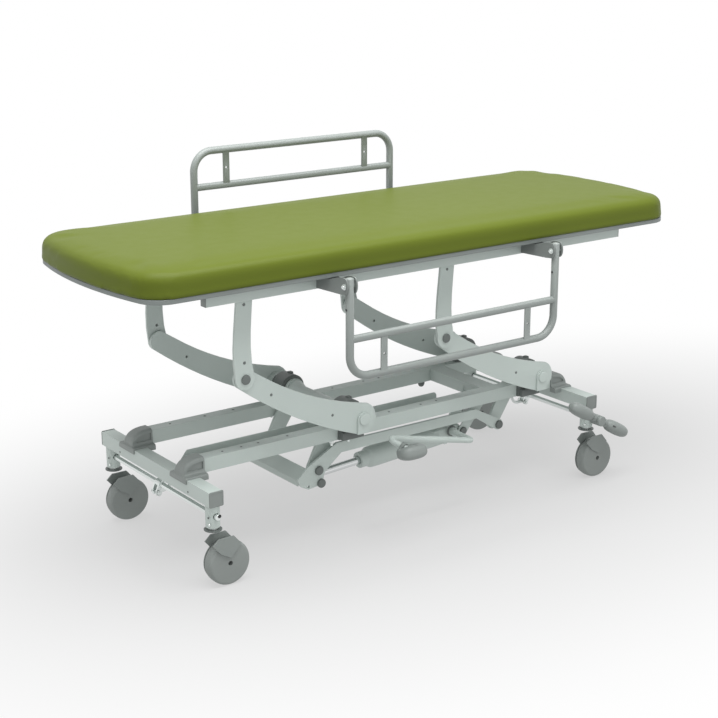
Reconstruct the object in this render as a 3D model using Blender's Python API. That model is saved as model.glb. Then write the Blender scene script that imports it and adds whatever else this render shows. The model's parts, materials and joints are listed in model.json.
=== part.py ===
"""Height-adjustable stretcher trolley.

Frame: +X along the bed towards the brake pedal, +Y to the far side, +Z up.
The origin is on the floor under the middle of the mattress.
All dimensions below are in millimetres; MM turns them into Blender metres.
"""
import bpy
import bmesh
from math import atan2, cos, hypot, pi, radians, sin, sqrt
from mathutils import Matrix, Vector

MM = 0.001
GAP = 0.3                     # clearance between pieces that rest on or run in each other

# ---- driving dimensions -------------------------------------------------------------------
PAD_LENGTH, PAD_WIDTH, PAD_TOP = 1890.0, 664.0, 880.0
PAD_BOTTOM = 809.0
BOARD_INSET = 9.0             # the board's edge lies this far inside the pad's edge
BOARD_THICKNESS = 13.0
END_BOW = 42.0                # how far each short end bulges past its corners
CORNER_RADIUS = 82.0

BASE_X = -50.0                # middle of the base
TUBE_X = 674.6                # cross tubes, from the middle of the base
TUBE_SIZE = 40.0
TUBE_HALF_LENGTH = 298.0
TUBE_BOTTOM = 234.7
CHANNEL_IN, CHANNEL_OUT = 122.0, 162.0      # |y| of a base channel's faces
CHANNEL_BOTTOM, CHANNEL_TOP = 275.0, 315.0
CHANNEL_REACH = TUBE_X + 8.0                # channel tips, from the middle of the base
CHANNEL_HOLES = {-1: (-608, -548, -494, -398, -43, 75, 134), 1: (-608, -494, -398, -43, 75, 134, 405)}
TRAY_ENDS, TRAY_LIP, TRAY_WALL_Y = (-716.0, 183.0), 318.0, -84.0
MEMBER_X, MEMBER_HALF = 352.0, 28.0         # cross member between the channels
PUMP_MOUNT = (264.0, 186.0)                 # x, z of the rear eye's cheeks
WALL = 3.0

STEM_X = {-1: -723.0, 1: 628.0}             # castor stems and brake shafts
CASTOR_Y, CASTOR_TRAIL = 277.0, 40.0
WHEEL_RADIUS, WHEEL_WIDTH = 62.5, 36.0
HUB_RADIUS, HUB_BOTTOM, HUB_HEIGHT = 31.5, 123.0, 45.5
STEM_RADIUS, STEM_TOP = 14.5, 188.0
SOCKET_RADIUS, SOCKET_BOTTOM, SOCKET_ROOF = 19.5, 172.0, 193.5
SHAFT_Z, SHAFT_FLATS = 205.0, 14.0

AXLE_Z, TUBE_FLANGE_RADIUS = 349.0, 28.0
AXLE_X = (-201.0, 476.0)                    # torsion tubes, left and right
ARM_RUN, ARM_RISE = -387.0, 188.0           # from a torsion tube to its upper pivot
ARM_IN, ARM_OUT = 219.0, 227.0
LEG_IN, LEG_OUT = 229.0, 237.0
RAIL_IN, RAIL_OUT = 237.3, 262.0
RAIL_BOTTOM, RAIL_TOP = 755.0, 795.0
RAIL_ENDS = (-715.0, 745.0)

CRANK_RUN, CRANK_DROP = -92.6, -159.0       # from a torsion tube to its tie-bar pin
CRANK_IN, CRANK_OUT = 110.0, 118.0
TIE_IN, TIE_OUT = 135.0, 143.0

RAM_Y = -78.0
RAM_PIN = (-286.0, 150.0)                   # x, z of the rod's eye
RAM_TILT = radians(3.2)
GLAND_AT, BORE_DEPTH, ROD_END = 179.0, 175.0, 232.0     # along the ram from the rod's eye
ROD_RADIUS = 12.0
PUMP_EYE_AT = 551.0
LEVER_PIVOT = (220.0, 194.0)                # x, z of the pump lever's axis
BOSS_REACH, LEVER_RADIUS = 33.0, 9.0        # the lever's boss, out from the ram's axis

GUARD_X = 362.0                             # side rail legs
GUARD_Y, GUARD_PIVOT_Z = 389.0, 785.0
GUARD_DROP, GUARD_MID = 249.0, 143.6        # pivot to the outer tube, pivot to the middle tube
GUARD_TUBE, GUARD_BEND = 11.0, 60.0
GUARD_BAR_X = 255.0
BRACKET_HALF, LOCK_INSET = 17.0, 26.0       # bracket half width, lock plunger inboard of the pivot

PEDAL_TILT = radians(29.4)
BRAKE_LEVER = 25.0

SIDES = (("near", -1), ("far", 1))
ENDS = (("left", -1), ("right", 1))


# ---- scene and materials ------------------------------------------------------------------
for old in list(bpy.data.objects):
    bpy.data.objects.remove(old, do_unlink=True)

LOOKS = {                     # colour (linear), roughness, metallic
    "frame": ((0.43, 0.48, 0.455), 0.42, 0.1),
    "guard": ((0.235, 0.255, 0.245), 0.4, 0.1),
    "plastic": ((0.165, 0.185, 0.175), 0.5, 0.0),
    "tyre": ((0.19, 0.205, 0.2), 0.65, 0.0),
    "chrome": ((0.75, 0.77, 0.77), 0.12, 1.0),
    "zinc": ((0.68, 0.72, 0.71), 0.3, 0.9),
    "board": ((0.13, 0.15, 0.145), 0.55, 0.0),
    "vinyl": ((0.23, 0.31, 0.065), 0.42, 0.0),
}


def material_for(name, look):
    colour, roughness, metallic = LOOKS[look]
    made = bpy.data.materials.new(name)
    made.use_nodes = True
    shader = made.node_tree.nodes["Principled BSDF"]
    shader.inputs["Base Color"].default_value = (*colour, 1.0)
    shader.inputs["Roughness"].default_value = roughness
    shader.inputs["Metallic"].default_value = metallic
    return made


# ---- mesh helpers (all take millimetres) --------------------------------------------------
def to_object(name, bm, smooth=True):
    """Turn a bmesh in millimetres into an object in metres, faces pointing out."""
    bmesh.ops.scale(bm, vec=(MM, MM, MM), verts=bm.verts)
    bmesh.ops.recalc_face_normals(bm, faces=bm.faces)
    mesh = bpy.data.meshes.new(name)
    bm.to_mesh(mesh)
    bm.free()
    if smooth:
        mesh.shade_smooth()
        mesh.set_sharp_from_angle(angle=radians(35))
    made = bpy.data.objects.new(name, mesh)
    bpy.context.collection.objects.link(made)
    return made


def box(low, high):
    bm = bmesh.new()
    centre = [(a + b) / 2 for a, b in zip(low, high)]
    size = [b - a for a, b in zip(low, high)]
    bmesh.ops.create_cube(bm, size=1, matrix=Matrix.Translation(centre) @ Matrix.Diagonal((*size, 1)))
    return bm


def rounded_box(low, high, radius, segments=2):
    bm = box(low, high)
    bmesh.ops.bevel(bm, geom=bm.edges, offset=radius, segments=segments, profile=0.5, affect="EDGES")
    return bm


def rod(start, end, radius, sides=14):
    """A straight cylinder or cone between two points."""
    start, end = Vector(start), Vector(end)
    axis = end - start
    turn = axis.to_track_quat("Z", "Y").to_matrix().to_4x4()
    bm = bmesh.new()
    bmesh.ops.create_cone(
        bm, cap_ends=True, segments=sides, radius1=radius, radius2=radius, depth=axis.length,
        matrix=Matrix.Translation((start + end) / 2) @ turn)
    return bm


def prism(outline, axis, start, end):
    """Extrude a closed outline along an axis. The outline holds the two other coordinates in order."""
    bm = bmesh.new()
    index = "XYZ".index(axis)
    ring = []
    for a, b in outline:
        point = [a, b]
        point.insert(index, start)
        ring.append(bm.verts.new(point))
    face = bm.faces.new(ring)
    grown = bmesh.ops.extrude_face_region(bm, geom=[face])
    shift = [0, 0, 0]
    shift[index] = end - start
    verts = [v for v in grown["geom"] if isinstance(v, bmesh.types.BMVert)]
    bmesh.ops.translate(bm, vec=shift, verts=verts)
    return bm


def turned(profile, start, direction, sides=18):
    """Turn a closed profile of (distance along, radius) about a line."""
    bm = bmesh.new()
    turn = Vector(direction).to_track_quat("Z", "Y").to_matrix().to_4x4()
    place = Matrix.Translation(start) @ turn
    rings = []
    for step in range(sides):
        angle = 2 * pi * step / sides
        rings.append([bm.verts.new(place @ Vector((r * cos(angle), r * sin(angle), s))) for s, r in profile])
    count = len(profile)
    for step in range(sides):
        ring, following = rings[step], rings[(step + 1) % sides]
        for i in range(count):
            j = (i + 1) % count
            bm.faces.new((ring[i], following[i], following[j], ring[j]))
    bmesh.ops.remove_doubles(bm, verts=bm.verts, dist=0.001)
    bmesh.ops.delete(bm, geom=[e for e in bm.edges if e.is_wire], context="EDGES")
    return bm


def arc(centre, radius, start, end, steps):
    """Points of an arc in a plane, angles in degrees, both ends included."""
    angles = [radians(start + (end - start) * i / steps) for i in range(steps + 1)]
    return [(centre[0] + radius * cos(a), centre[1] + radius * sin(a)) for a in angles]


def bent_path(corners, bend, steps=6):
    """A polyline whose inner corners are rounded to a bend radius."""
    corners = [Vector(c) for c in corners]
    path = [corners[0]]
    for before, corner, after in zip(corners, corners[1:], corners[2:]):
        u, v = (before - corner).normalized(), (after - corner).normalized()
        half = u.angle(v) / 2
        centre = corner + (u + v).normalized() * bend / sin(half)
        tangent = bend / (sin(half) / cos(half))
        first, last = corner + u * tangent - centre, corner + v * tangent - centre
        turn = first.angle(last)
        for i in range(steps + 1):
            t = i / steps
            path.append(centre + (first * sin((1 - t) * turn) + last * sin(t * turn)) / sin(turn))
    return path + [corners[-1]]


def swept(path, radius, sides=10):
    """A round bar along a path, carried round its bends without twist."""
    bm = bmesh.new()
    tangents = []
    for i in range(len(path)):
        ahead = path[min(i + 1, len(path) - 1)] - path[i]
        behind = path[i] - path[max(i - 1, 0)]
        tangents.append((ahead.normalized() if ahead.length else Vector()) +
                        (behind.normalized() if behind.length else Vector()))
    tangents = [t.normalized() for t in tangents]
    across = tangents[0].orthogonal().normalized()
    rings, last = [], tangents[0]
    for point, tangent in zip(path, tangents):
        across = last.rotation_difference(tangent) @ across
        over = tangent.cross(across)
        last = tangent
        rings.append([bm.verts.new(point + radius * (cos(2 * pi * k / sides) * across +
                                                     sin(2 * pi * k / sides) * over)) for k in range(sides)])
    for ring, following in zip(rings, rings[1:]):
        for k in range(sides):
            bm.faces.new((ring[k], ring[(k + 1) % sides], following[(k + 1) % sides], following[k]))
    bm.faces.new(rings[0])
    bm.faces.new(rings[-1])
    return bm


def combine(kept, others, operation):
    """Apply a Boolean with each other bmesh in turn and return the resulting object."""
    base = to_object("work", kept)
    for other in others:
        tool = to_object("tool", other)
        tool.hide_render = True
        tool.display_type = "WIRE"
        cut = base.modifiers.new("cut", "BOOLEAN")
        cut.operation = operation
        cut.object = tool
        bpy.context.view_layer.update()
        solved = bpy.data.meshes.new_from_object(base.evaluated_get(bpy.context.evaluated_depsgraph_get()))
        base.modifiers.clear()
        base.data = solved
        bpy.data.objects.remove(tool, do_unlink=True)
    return base


def back_to_bmesh(made):
    bm = bmesh.new()
    bm.from_mesh(made.data)
    bmesh.ops.scale(bm, vec=(1 / MM, 1 / MM, 1 / MM), verts=bm.verts)
    bpy.data.objects.remove(made, do_unlink=True)
    return bm


def cut(kept, *tools):
    return back_to_bmesh(combine(kept, tools, "DIFFERENCE"))


def joined(kept, *tools):
    return back_to_bmesh(combine(kept, tools, "UNION"))


def empty_at(name, point, parent=None):
    marker = bpy.data.objects.new(name, None)
    marker.empty_display_size = 0.04
    marker.location = Vector(point) * MM
    bpy.context.collection.objects.link(marker)
    if parent:
        bpy.context.view_layer.update()
        marker.parent = parent
        marker.matrix_parent_inverse = parent.matrix_world.inverted()
    return marker


def piece(name, bm, look, parent=None):
    """Name a finished bmesh, give it its own material and hang it on its joint's empty."""
    made = to_object(name, bm)
    made.data.materials.clear()
    made.data.materials.append(material_for(name, look))
    if parent:
        bpy.context.view_layer.update()
        made.parent = parent
        made.matrix_parent_inverse = parent.matrix_world.inverted()
    return made


def square_tube(axis, start, end, low, high):
    """A hollow rectangular tube along X or Y; low and high are the section's corners."""
    (a0, b0), (a1, b1) = low, high
    outer = prism([(a0, b0), (a1, b0), (a1, b1), (a0, b1)], axis, start, end)
    inner = prism([(a0 + WALL, b0 + WALL), (a1 - WALL, b0 + WALL), (a1 - WALL, b1 - WALL),
                   (a0 + WALL, b1 - WALL)], axis, start - 5, end + 5)
    return cut(outer, inner)


def across_y(x, z, start, end, radius, sides=14):
    """A bar along Y."""
    return rod((x, start, z), (x, end, z), radius, sides)


def mirrored(side, low, high):
    """|y| limits turned into ordered y limits on one side."""
    return (low, high) if side > 0 else (-high, -low)


# ---- base ---------------------------------------------------------------------------------
def base_channel(name, side):
    """A box channel whose ends are cut at 45 degrees under the corner covers."""
    y0, y1 = mirrored(side, CHANNEL_IN, CHANNEL_OUT)
    tube = square_tube("X", BASE_X - CHANNEL_REACH, BASE_X + CHANNEL_REACH, (y0, CHANNEL_BOTTOM),
                       (y1, CHANNEL_TOP))
    tools = []
    for _, end in ENDS:
        tip = BASE_X + end * (CHANNEL_REACH + 1)
        tools.append(prism([(tip, CHANNEL_BOTTOM + 4), (tip, CHANNEL_TOP + 5),
                            (tip - end * 42, CHANNEL_TOP + 5)], "Y", y0 - 5, y1 + 5))
    mid = (y0 + y1) / 2
    for x in CHANNEL_HOLES[side]:
        tools.append(rod((x, mid, CHANNEL_TOP - 6), (x, mid, CHANNEL_TOP + 5), 3.6, 10))
    piece(name, cut(tube, *tools), "frame")


def inner_tray():
    """Folded sheet beside the near channel, with a sloped left end and a slot for the crank."""
    left, right = TRAY_ENDS
    sheet, bottom, corner = 2.5, CHANNEL_BOTTOM + 4, 12
    channel_y = -CHANNEL_IN + GAP
    floor = box((left + 42, channel_y, bottom), (right, TRAY_WALL_Y + sheet, bottom + sheet))
    wall = prism([(left, bottom), (right, bottom)] +
                 arc((right - corner, TRAY_LIP - corner), corner, 0, 90, 4) +
                 [(left + 32, TRAY_LIP)], "Y", TRAY_WALL_Y, TRAY_WALL_Y + sheet)
    crank_x = AXLE_X[0]
    slot = box((crank_x - 130, channel_y - 2, CHANNEL_BOTTOM), (crank_x + 70, -105, CHANNEL_TOP))
    piece("inner_tray", cut(joined(floor, wall), slot), "frame")


def corner_cover(name, side, end):
    """Quarter-round moulded dome over a channel's end, flared to a foot that laps the cross tube."""
    back = BASE_X + end * 628                      # open side, towards the middle
    front = BASE_X + end * (TUBE_X + TUBE_SIZE / 2 + 4)
    dome_y = mirrored(side, CHANNEL_IN - 4, CHANNEL_OUT + 4)
    foot_y = mirrored(side, CHANNEL_IN - 21, CHANNEL_OUT + 24)
    top, foot_top = 321.0, TUBE_BOTTOM + TUBE_SIZE + 5
    span = abs(front - back)
    sweep = [(back + end * (span - 2) * sin(radians(a)) ** 0.75,
              foot_top + (top - foot_top) * cos(radians(a)) ** 0.75) for a in range(0, 91, 9)]
    dome = prism(sweep + [(front - end * 2, 262), (back, 262)], "Y", *dome_y)
    foot = box((min(back, front), foot_y[0], 264), (max(back, front), foot_y[1], foot_top))
    bmesh.ops.bevel(foot, geom=[e for e in foot.edges if all(v.co.z > 270 for v in e.verts)],
                    offset=3.5, segments=2, affect="EDGES")
    tube_x = BASE_X + end * TUBE_X
    half = TUBE_SIZE / 2 + GAP
    tube_room = box((tube_x - half, -400, 200), (tube_x + half, 400, TUBE_BOTTOM + TUBE_SIZE + GAP))
    inner, tip = BASE_X + end * 500, BASE_X + end * (CHANNEL_REACH + 1)
    channel_room = prism([(inner, CHANNEL_BOTTOM - 30), (tip, CHANNEL_BOTTOM - 30), (tip, CHANNEL_BOTTOM + 6),
                          (tip - end * 37, CHANNEL_TOP + GAP), (inner, CHANNEL_TOP + GAP)],
                         "Y", *mirrored(side, CHANNEL_IN - GAP, CHANNEL_OUT + GAP))
    tray_room = []
    if side < 0 and end < 0:
        tray_room = [box((back - 20, -CHANNEL_IN, CHANNEL_BOTTOM), (back + 30, -80, 330))]
    piece(name, cut(joined(dome, foot), tube_room, channel_room, *tray_room), "plastic")


def bearing_housing(name, side, x):
    """Saddle block that clamps a torsion tube to its channel, with a small bolt lug on top."""
    radius, half = 41.0, 40.0
    outline = ([(x - half, CHANNEL_BOTTOM + 2), (x + half, CHANNEL_BOTTOM + 2)] +
               arc((x, AXLE_Z), radius, -20, 200, 14))
    block = prism(outline, "Y", *mirrored(side, CHANNEL_IN - 2, 186.0))
    lug_y = mirrored(side, 140, 156)
    lug = box((x + 2, lug_y[0], AXLE_Z + 30), (x + 16, lug_y[1], AXLE_Z + 45))
    seat = box((x - 80, min(0, side * (CHANNEL_OUT + GAP)), 200),
               (x + 80, max(0, side * (CHANNEL_OUT + GAP)), CHANNEL_TOP + GAP))
    bore = across_y(x, AXLE_Z, *mirrored(side, 60, 250), 20 + GAP, 28)
    piece(name, cut(joined(block, lug), seat, bore), "plastic")


def cross_tube(name, end):
    """End tube with two round sockets welded under it, bored for the castor stems and the shaft."""
    x = BASE_X + end * TUBE_X
    half = TUBE_SIZE / 2
    tube = square_tube("Y", -TUBE_HALF_LENGTH, TUBE_HALF_LENGTH, (x - half, TUBE_BOTTOM),
                       (x + half, TUBE_BOTTOM + TUBE_SIZE))
    length = TUBE_BOTTOM + 1 - SOCKET_BOTTOM
    depth = SOCKET_ROOF - SOCKET_BOTTOM
    profile = [(0, 15.6), (0, SOCKET_RADIUS), (length, SOCKET_RADIUS), (length, 0), (depth, 0), (depth, 15.6)]
    socket_x = STEM_X[end]
    sockets = [turned(profile, (socket_x, side * CASTOR_Y, SOCKET_BOTTOM), (0, 0, 1), 16)
               for _, side in SIDES]
    bore = across_y(socket_x, SHAFT_Z, -CASTOR_Y - 40, CASTOR_Y + 40, 9, 12)
    piece(name, cut(joined(tube, *sockets), bore), "frame")


def base_cross_member():
    """Inverted U-section level with the channels, carrying the two gusset cheeks of the pump mounting."""
    low, high, left, right = CHANNEL_BOTTOM + 2, CHANNEL_TOP, MEMBER_X - MEMBER_HALF, MEMBER_X + MEMBER_HALF
    section = [(left, low), (left + 4, low), (left + 4, high - 4), (right - 4, high - 4), (right - 4, low),
               (right, low), (right, high), (left, high)]
    member = prism(section, "Y", -CHANNEL_IN + GAP, CHANNEL_IN - GAP)
    eye_x, eye_z = PUMP_MOUNT
    cheeks = []
    for y in (-114.0, -46.0):
        outline = [(eye_x + 2, high - 14), (eye_x - 24, eye_z + 40)] + arc((eye_x, eye_z), 24, 180, 340, 8)
        outline += [(right - 12, low - 4), (right - 12, high - 6), (left + 2, high - 2)]
        cheeks.append(prism(outline, "Y", y, y + 4))
    piece("base_cross_member", joined(member, *cheeks), "frame")


for side_name, side in SIDES:
    base_channel(f"base_channel_{side_name}", side)
    for end_name, end in ENDS:
        corner_cover(f"corner_cover_{side_name}_{end_name}", side, end)
for end_name, end in ENDS:
    cross_tube(f"cross_tube_{end_name}", end)
    for side_name, side in SIDES:
        bearing_housing(f"bearing_housing_{side_name}_{end_name}", side, AXLE_X[0 if end < 0 else 1])
inner_tray()
base_cross_member()


# ---- castors ------------------------------------------------------------------------------
def castor(tag, x, y):
    """Swivel hub with a hood and two side covers, and the wheel between them."""
    swivel = empty_at(f"swivel_{tag}", (x, y, 0))
    wheel_x = x + CASTOR_TRAIL
    spin = empty_at(f"spin_{tag}", (wheel_x, y, WHEEL_RADIUS), swivel)
    cover_in, cover_out = WHEEL_WIDTH / 2 + 1.5, WHEEL_WIDTH / 2 + 5.5
    stem = STEM_TOP - HUB_BOTTOM
    hub_profile = [(0, 0), (0, HUB_RADIUS - 1.5), (3, HUB_RADIUS), (HUB_HEIGHT, HUB_RADIUS), (HUB_HEIGHT, 23),
                   (HUB_HEIGHT - 4, 23), (HUB_HEIGHT - 4, STEM_RADIUS), (stem, STEM_RADIUS), (stem, 0)]
    hub = turned(hub_profile, (x, y, HUB_BOTTOM), (0, 0, 1), 18)
    hood_outline = [(x + 2, 124), (x + 2, 159), (x + 30, 160), (x + 50, 156), (x + 66, 146), (x + 75, 133),
                    (x + 88, 113), (x + 78, 104), (x + 40, 104)]
    hood = prism(hood_outline, "Y", y - cover_out, y + cover_out)
    bmesh.ops.bevel(hood, geom=[e for e in hood.edges if all(v.co.z > 130 for v in e.verts)],
                    offset=5, segments=2, affect="EDGES")
    plates = []
    for side in (-1, 1):
        y0, y1 = sorted((y + side * cover_in, y + side * cover_out))
        plates.append(across_y(wheel_x, WHEEL_RADIUS, y0, y1, 54, 24))
        web = [(x - 14, 124), (x + 4, 140), (x + 50, 140), (x + 72, 114), (x + 40, 80), (x + 8, 98)]
        plates.append(prism(web, "Y", y0, y1))
    room = across_y(wheel_x, WHEEL_RADIUS, y - cover_in, y + cover_in, WHEEL_RADIUS + 3, 24)
    axle = across_y(wheel_x, WHEEL_RADIUS, y - cover_in - 1, y + cover_in + 1, 6, 12)
    fork = joined(cut(joined(hub, hood, *plates), room), axle)
    piece(f"castor_fork_{tag}", fork, "plastic", swivel)
    half = WHEEL_WIDTH / 2
    profile = [(-half, 6.8), (-half, 55), (-half + 5, 60.5), (-half + 11, WHEEL_RADIUS),
               (half - 11, WHEEL_RADIUS), (half - 5, 60.5), (half, 55), (half, 6.8)]
    wheel = turned(profile, (wheel_x, y, WHEEL_RADIUS), (0, 1, 0), 32)
    piece(f"castor_wheel_{tag}", wheel, "tyre", spin)


for end_name, end in ENDS:
    for side_name, side in SIDES:
        castor(f"{side_name}_{end_name}", STEM_X[end], side * CASTOR_Y)


# ---- brake --------------------------------------------------------------------------------
def brake_shaft(name, end, parent):
    """Hexagonal shaft through both sockets with a forked lever at its middle; gives the lever's pin."""
    x = STEM_X[end]
    shaft = across_y(x, SHAFT_Z, -305, 305, SHAFT_FLATS / sqrt(3), 6)
    pin = (x - BRAKE_LEVER * sin(PEDAL_TILT), SHAFT_Z - BRAKE_LEVER * cos(PEDAL_TILT))
    clamp = across_y(x, SHAFT_Z, -13, 13, 12, 16)
    cheeks = []
    along, wide = Vector((-sin(PEDAL_TILT), -cos(PEDAL_TILT))), Vector((cos(PEDAL_TILT), -sin(PEDAL_TILT)))
    centre, eye = Vector((x, SHAFT_Z)), Vector(pin)
    for y0, y1 in ((-13, -8), (8, 13)):
        outline = [centre - wide * 12, eye - wide * 9, eye - wide * 5 + along * 8, eye + wide * 5 + along * 8,
                   eye + wide * 9, centre + wide * 12]
        cheeks.append(prism([tuple(p) for p in outline], "Y", y0, y1))
    solid = joined(shaft, clamp, *cheeks)
    bore = across_y(pin[0], pin[1], -20, 20, 4.5 if end > 0 else 6.0, 12)
    piece(name, cut(solid, bore), "zinc", parent)
    return pin


def brake_pedal(parent):
    """Rocker pedal: a hub on the shaft's near end and two rounded lobes."""
    x = STEM_X[1]
    y0, y1 = -350.0, -309.0
    slope = Matrix.Rotation(PEDAL_TILT, 4, "Y")
    place = Matrix.Translation((x, 0, SHAFT_Z)) @ slope

    def lobe(sign):
        bm = bmesh.new()
        bmesh.ops.create_uvsphere(bm, u_segments=14, v_segments=8, radius=1)
        for v in bm.verts:
            v.co = Vector((abs(v.co.x) ** 0.75 * (1 if v.co.x > 0 else -1), v.co.y, v.co.z))
        fit = Matrix.Translation((sign * 88.5, (y0 + y1) / 2, 1)) @ Matrix.Diagonal((49, 23, 17, 1))
        bmesh.ops.transform(bm, matrix=place @ fit, verts=bm.verts)
        return bm

    neck = rod((-60, (y0 + y1) / 2, 0), (60, (y0 + y1) / 2, 0), 10.5, 14)
    bmesh.ops.transform(neck, matrix=place, verts=neck.verts)
    hub = across_y(x, SHAFT_Z, y0 + 4, y1, 16, 20)
    solid = joined(hub, neck, lobe(-1), lobe(1))
    piece("brake_pedal", solid, "plastic", parent)


def brake_rod(pin_left, pin_right, parent):
    """Joggled link that drops under both cross tubes to the brake levers."""
    low, high = pin_right[1], 252.0
    corners = [(pin_left[0] - 12, 0, low), (pin_left[0] + 32, 0, low), (pin_left[0] + 84, 0, high),
               (pin_right[0] - 84, 0, high), (pin_right[0] - 36, 0, low), (pin_right[0] + 12, 0, low)]
    bar = swept(bent_path(corners, 22, 2), 5, 8)
    pin = across_y(*pin_right, -15, 15, 4.2, 12)
    pin_free = across_y(*pin_left, -15, 15, 4.2, 12)
    piece("brake_rod", joined(bar, pin, pin_free), "zinc", parent)


brake_axis = empty_at("brake_axis_right", (STEM_X[1], 0, SHAFT_Z))
brake_axis_left = empty_at("brake_axis_left", (STEM_X[-1], 0, SHAFT_Z))
pin_right = brake_shaft("brake_shaft_right", 1, brake_axis)
pin_left = brake_shaft("brake_shaft_left", -1, brake_axis_left)
brake_pedal(brake_axis)
brake_rod(pin_left, pin_right, empty_at("brake_rod_axis", (pin_right[0], 0, pin_right[1]), brake_axis))


# ---- lift ---------------------------------------------------------------------------------
ARM_LENGTH = hypot(ARM_RUN, ARM_RISE)


def arm_plate(name, side, x, parent):
    """Banana-shaped arm with a D-shaped boss at the torsion tube and the upper pivot pin."""
    steps = 10
    slope = atan2(ARM_RISE, ARM_RUN)

    def world(u, v):
        """u along the chord from the torsion tube, v square to it and upwards."""
        return (x + u * cos(slope) + v * sin(slope), AXLE_Z + u * sin(slope) - v * cos(slope))

    def centre(t):
        return -21.0 * 4 * t * (1 - t)

    def half_width(t):
        return 46 - 16 * t - 3.7 * 4 * t * (1 - t)

    top = [(ARM_LENGTH * i / steps, centre(i / steps) + half_width(i / steps)) for i in range(1, steps)]
    bottom = [(ARM_LENGTH * i / steps, centre(i / steps) - half_width(i / steps)) for i in range(1, steps)]
    lower_end = arc((0, 0), 46, 90, 255, 10)
    upper_end = arc((ARM_LENGTH, 0), 30, -70, 75, 8)
    outline = [world(u, v) for u, v in lower_end + bottom + upper_end + top[::-1]]
    y0, y1 = mirrored(side, ARM_IN, ARM_OUT)
    plate = prism(outline, "Y", y0, y1)
    boss_y = mirrored(side, ARM_OUT - 1, ARM_OUT + 6)
    boss = prism(arc((x, AXLE_Z), 19, 0, 180, 12) + [(x - 19, AXLE_Z - 43), (x + 19, AXLE_Z - 43)],
                 "Y", *boss_y)
    pivot = (x + ARM_RUN, AXLE_Z + ARM_RISE)
    pin = across_y(*pivot, *mirrored(side, ARM_OUT - 1, LEG_OUT + 2), 8.7, 16)
    cap = across_y(*pivot, *mirrored(side, LEG_OUT + 1, LEG_OUT + 4.5), 13, 16)
    holes = [across_y(*world(u, -17.5), y0 - 5, y1 + 5, 4.2, 10) for u in (105.5, 327)]
    piece(name, cut(joined(plate, boss, pin, cap), *holes), "frame", parent)


def torsion_tube(name, x, crank_sides, parent):
    """Tube through both bearing housings with its crank plates and end flanges."""
    half = ARM_IN - GAP
    flange = TUBE_FLANGE_RADIUS
    right_half = [(72, 20), (96, flange), (CRANK_IN, flange), (CRANK_IN, 20), (196, 20), (196, flange),
                  (half, flange), (half, 15)]
    left_half = [(-along, radius) for along, radius in right_half[::-1]]
    tube = turned(left_half + right_half, (x, 0, AXLE_Z), (0, 1, 0), 16)
    pin = (x + CRANK_RUN, AXLE_Z + CRANK_DROP)
    slope = atan2(CRANK_DROP, CRANK_RUN) * 180 / pi
    plates = []
    for side in crank_sides:
        outline = arc((x, AXLE_Z), 32, slope + 90, slope + 270, 8) + arc(pin, 21, slope - 90, slope + 90, 6)
        plates.append(prism(outline, "Y", *mirrored(side, CRANK_IN - 1, CRANK_OUT)))
    holes = [across_y(*pin, *mirrored(side, CRANK_IN - 5, CRANK_OUT + 5), 10.5, 16) for side in crank_sides]
    welded = joined(tube, *[cut(p, across_y(x, AXLE_Z, -130, 130, 17, 16)) for p in plates])
    piece(name, cut(welded, *holes), "frame", parent)


def tie_bar(name, side, parent):
    """Plate on a left crank's pin; the near one runs on as a raised bar to the right crank."""
    left, right = (x + CRANK_RUN for x in AXLE_X)
    pin_z = AXLE_Z + CRANK_DROP
    outline = [(left - 41, 203), (left - 70, 177), (left - 66, 160), (left - 57, 150), (left - 35, 139.5),
               (left + 3, 144), (left + 15, 152), (left + 19, 174)]
    pins = [(left, pin_z, CRANK_IN - 3)]
    if side < 0:
        outline += [(left + 24, 183), (left + 80, 227), (right - 89, 227)]
        outline += arc((right, pin_z), 17, -115, 50, 8) + [(right - 94, 257), (left + 64, 259)]
        pins += [(right, pin_z, CRANK_IN - 3), (*RAM_PIN, -RAM_Y - 22)]
    else:
        outline += arc((left, pin_z), 20, -20, 110, 6)
    plate = prism(outline, "Y", *mirrored(side, TIE_IN, TIE_OUT))
    hole = across_y(left - 35, 148, *mirrored(side, TIE_IN - 5, TIE_OUT + 5), 4.5, 12)
    welded = cut(plate, hole)
    for x, z, inner in pins:
        pin = across_y(x, z, *mirrored(side, inner, TIE_OUT - 2), 8, 16)
        cap = across_y(x, z, *mirrored(side, TIE_OUT - 1, TIE_OUT + 7), 12.5, 20)
        welded = joined(welded, pin, cap)
    piece(name, welded, "frame", parent)


def tie_cross_piece(parent):
    """Folded section with a down-turned lip, joining the two left tie plates."""
    x = AXLE_X[0] + CRANK_RUN
    section = [(x - 37, 201), (x - 66, 170), (x - 66, 153), (x - 63, 153), (x - 63, 168.8), (x - 34.8, 199)]
    piece("tie_cross_piece", prism(section, "Y", -TIE_IN + GAP, TIE_IN - GAP), "frame", parent)


def on_ram(along, y=0.0, up=0.0):
    """A point on the ram's axis, measured from the rod's eye, with an offset across it."""
    return Vector((RAM_PIN[0] + along * cos(RAM_TILT) - up * sin(RAM_TILT), RAM_Y + y,
                   RAM_PIN[1] + along * sin(RAM_TILT) + up * cos(RAM_TILT)))


def ram_rod(parent):
    """Polished rod with an eye that turns on the near tie-bar's pin."""
    shaft = rod(on_ram(14), on_ram(ROD_END), ROD_RADIUS, 20)
    eye = across_y(*RAM_PIN, RAM_Y - 14, RAM_Y + 14, 17, 18)
    bore = across_y(*RAM_PIN, RAM_Y - 30, RAM_Y + 30, 8 + GAP, 16)
    piece("ram_rod", cut(joined(eye, shaft), bore), "chrome", parent)


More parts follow.
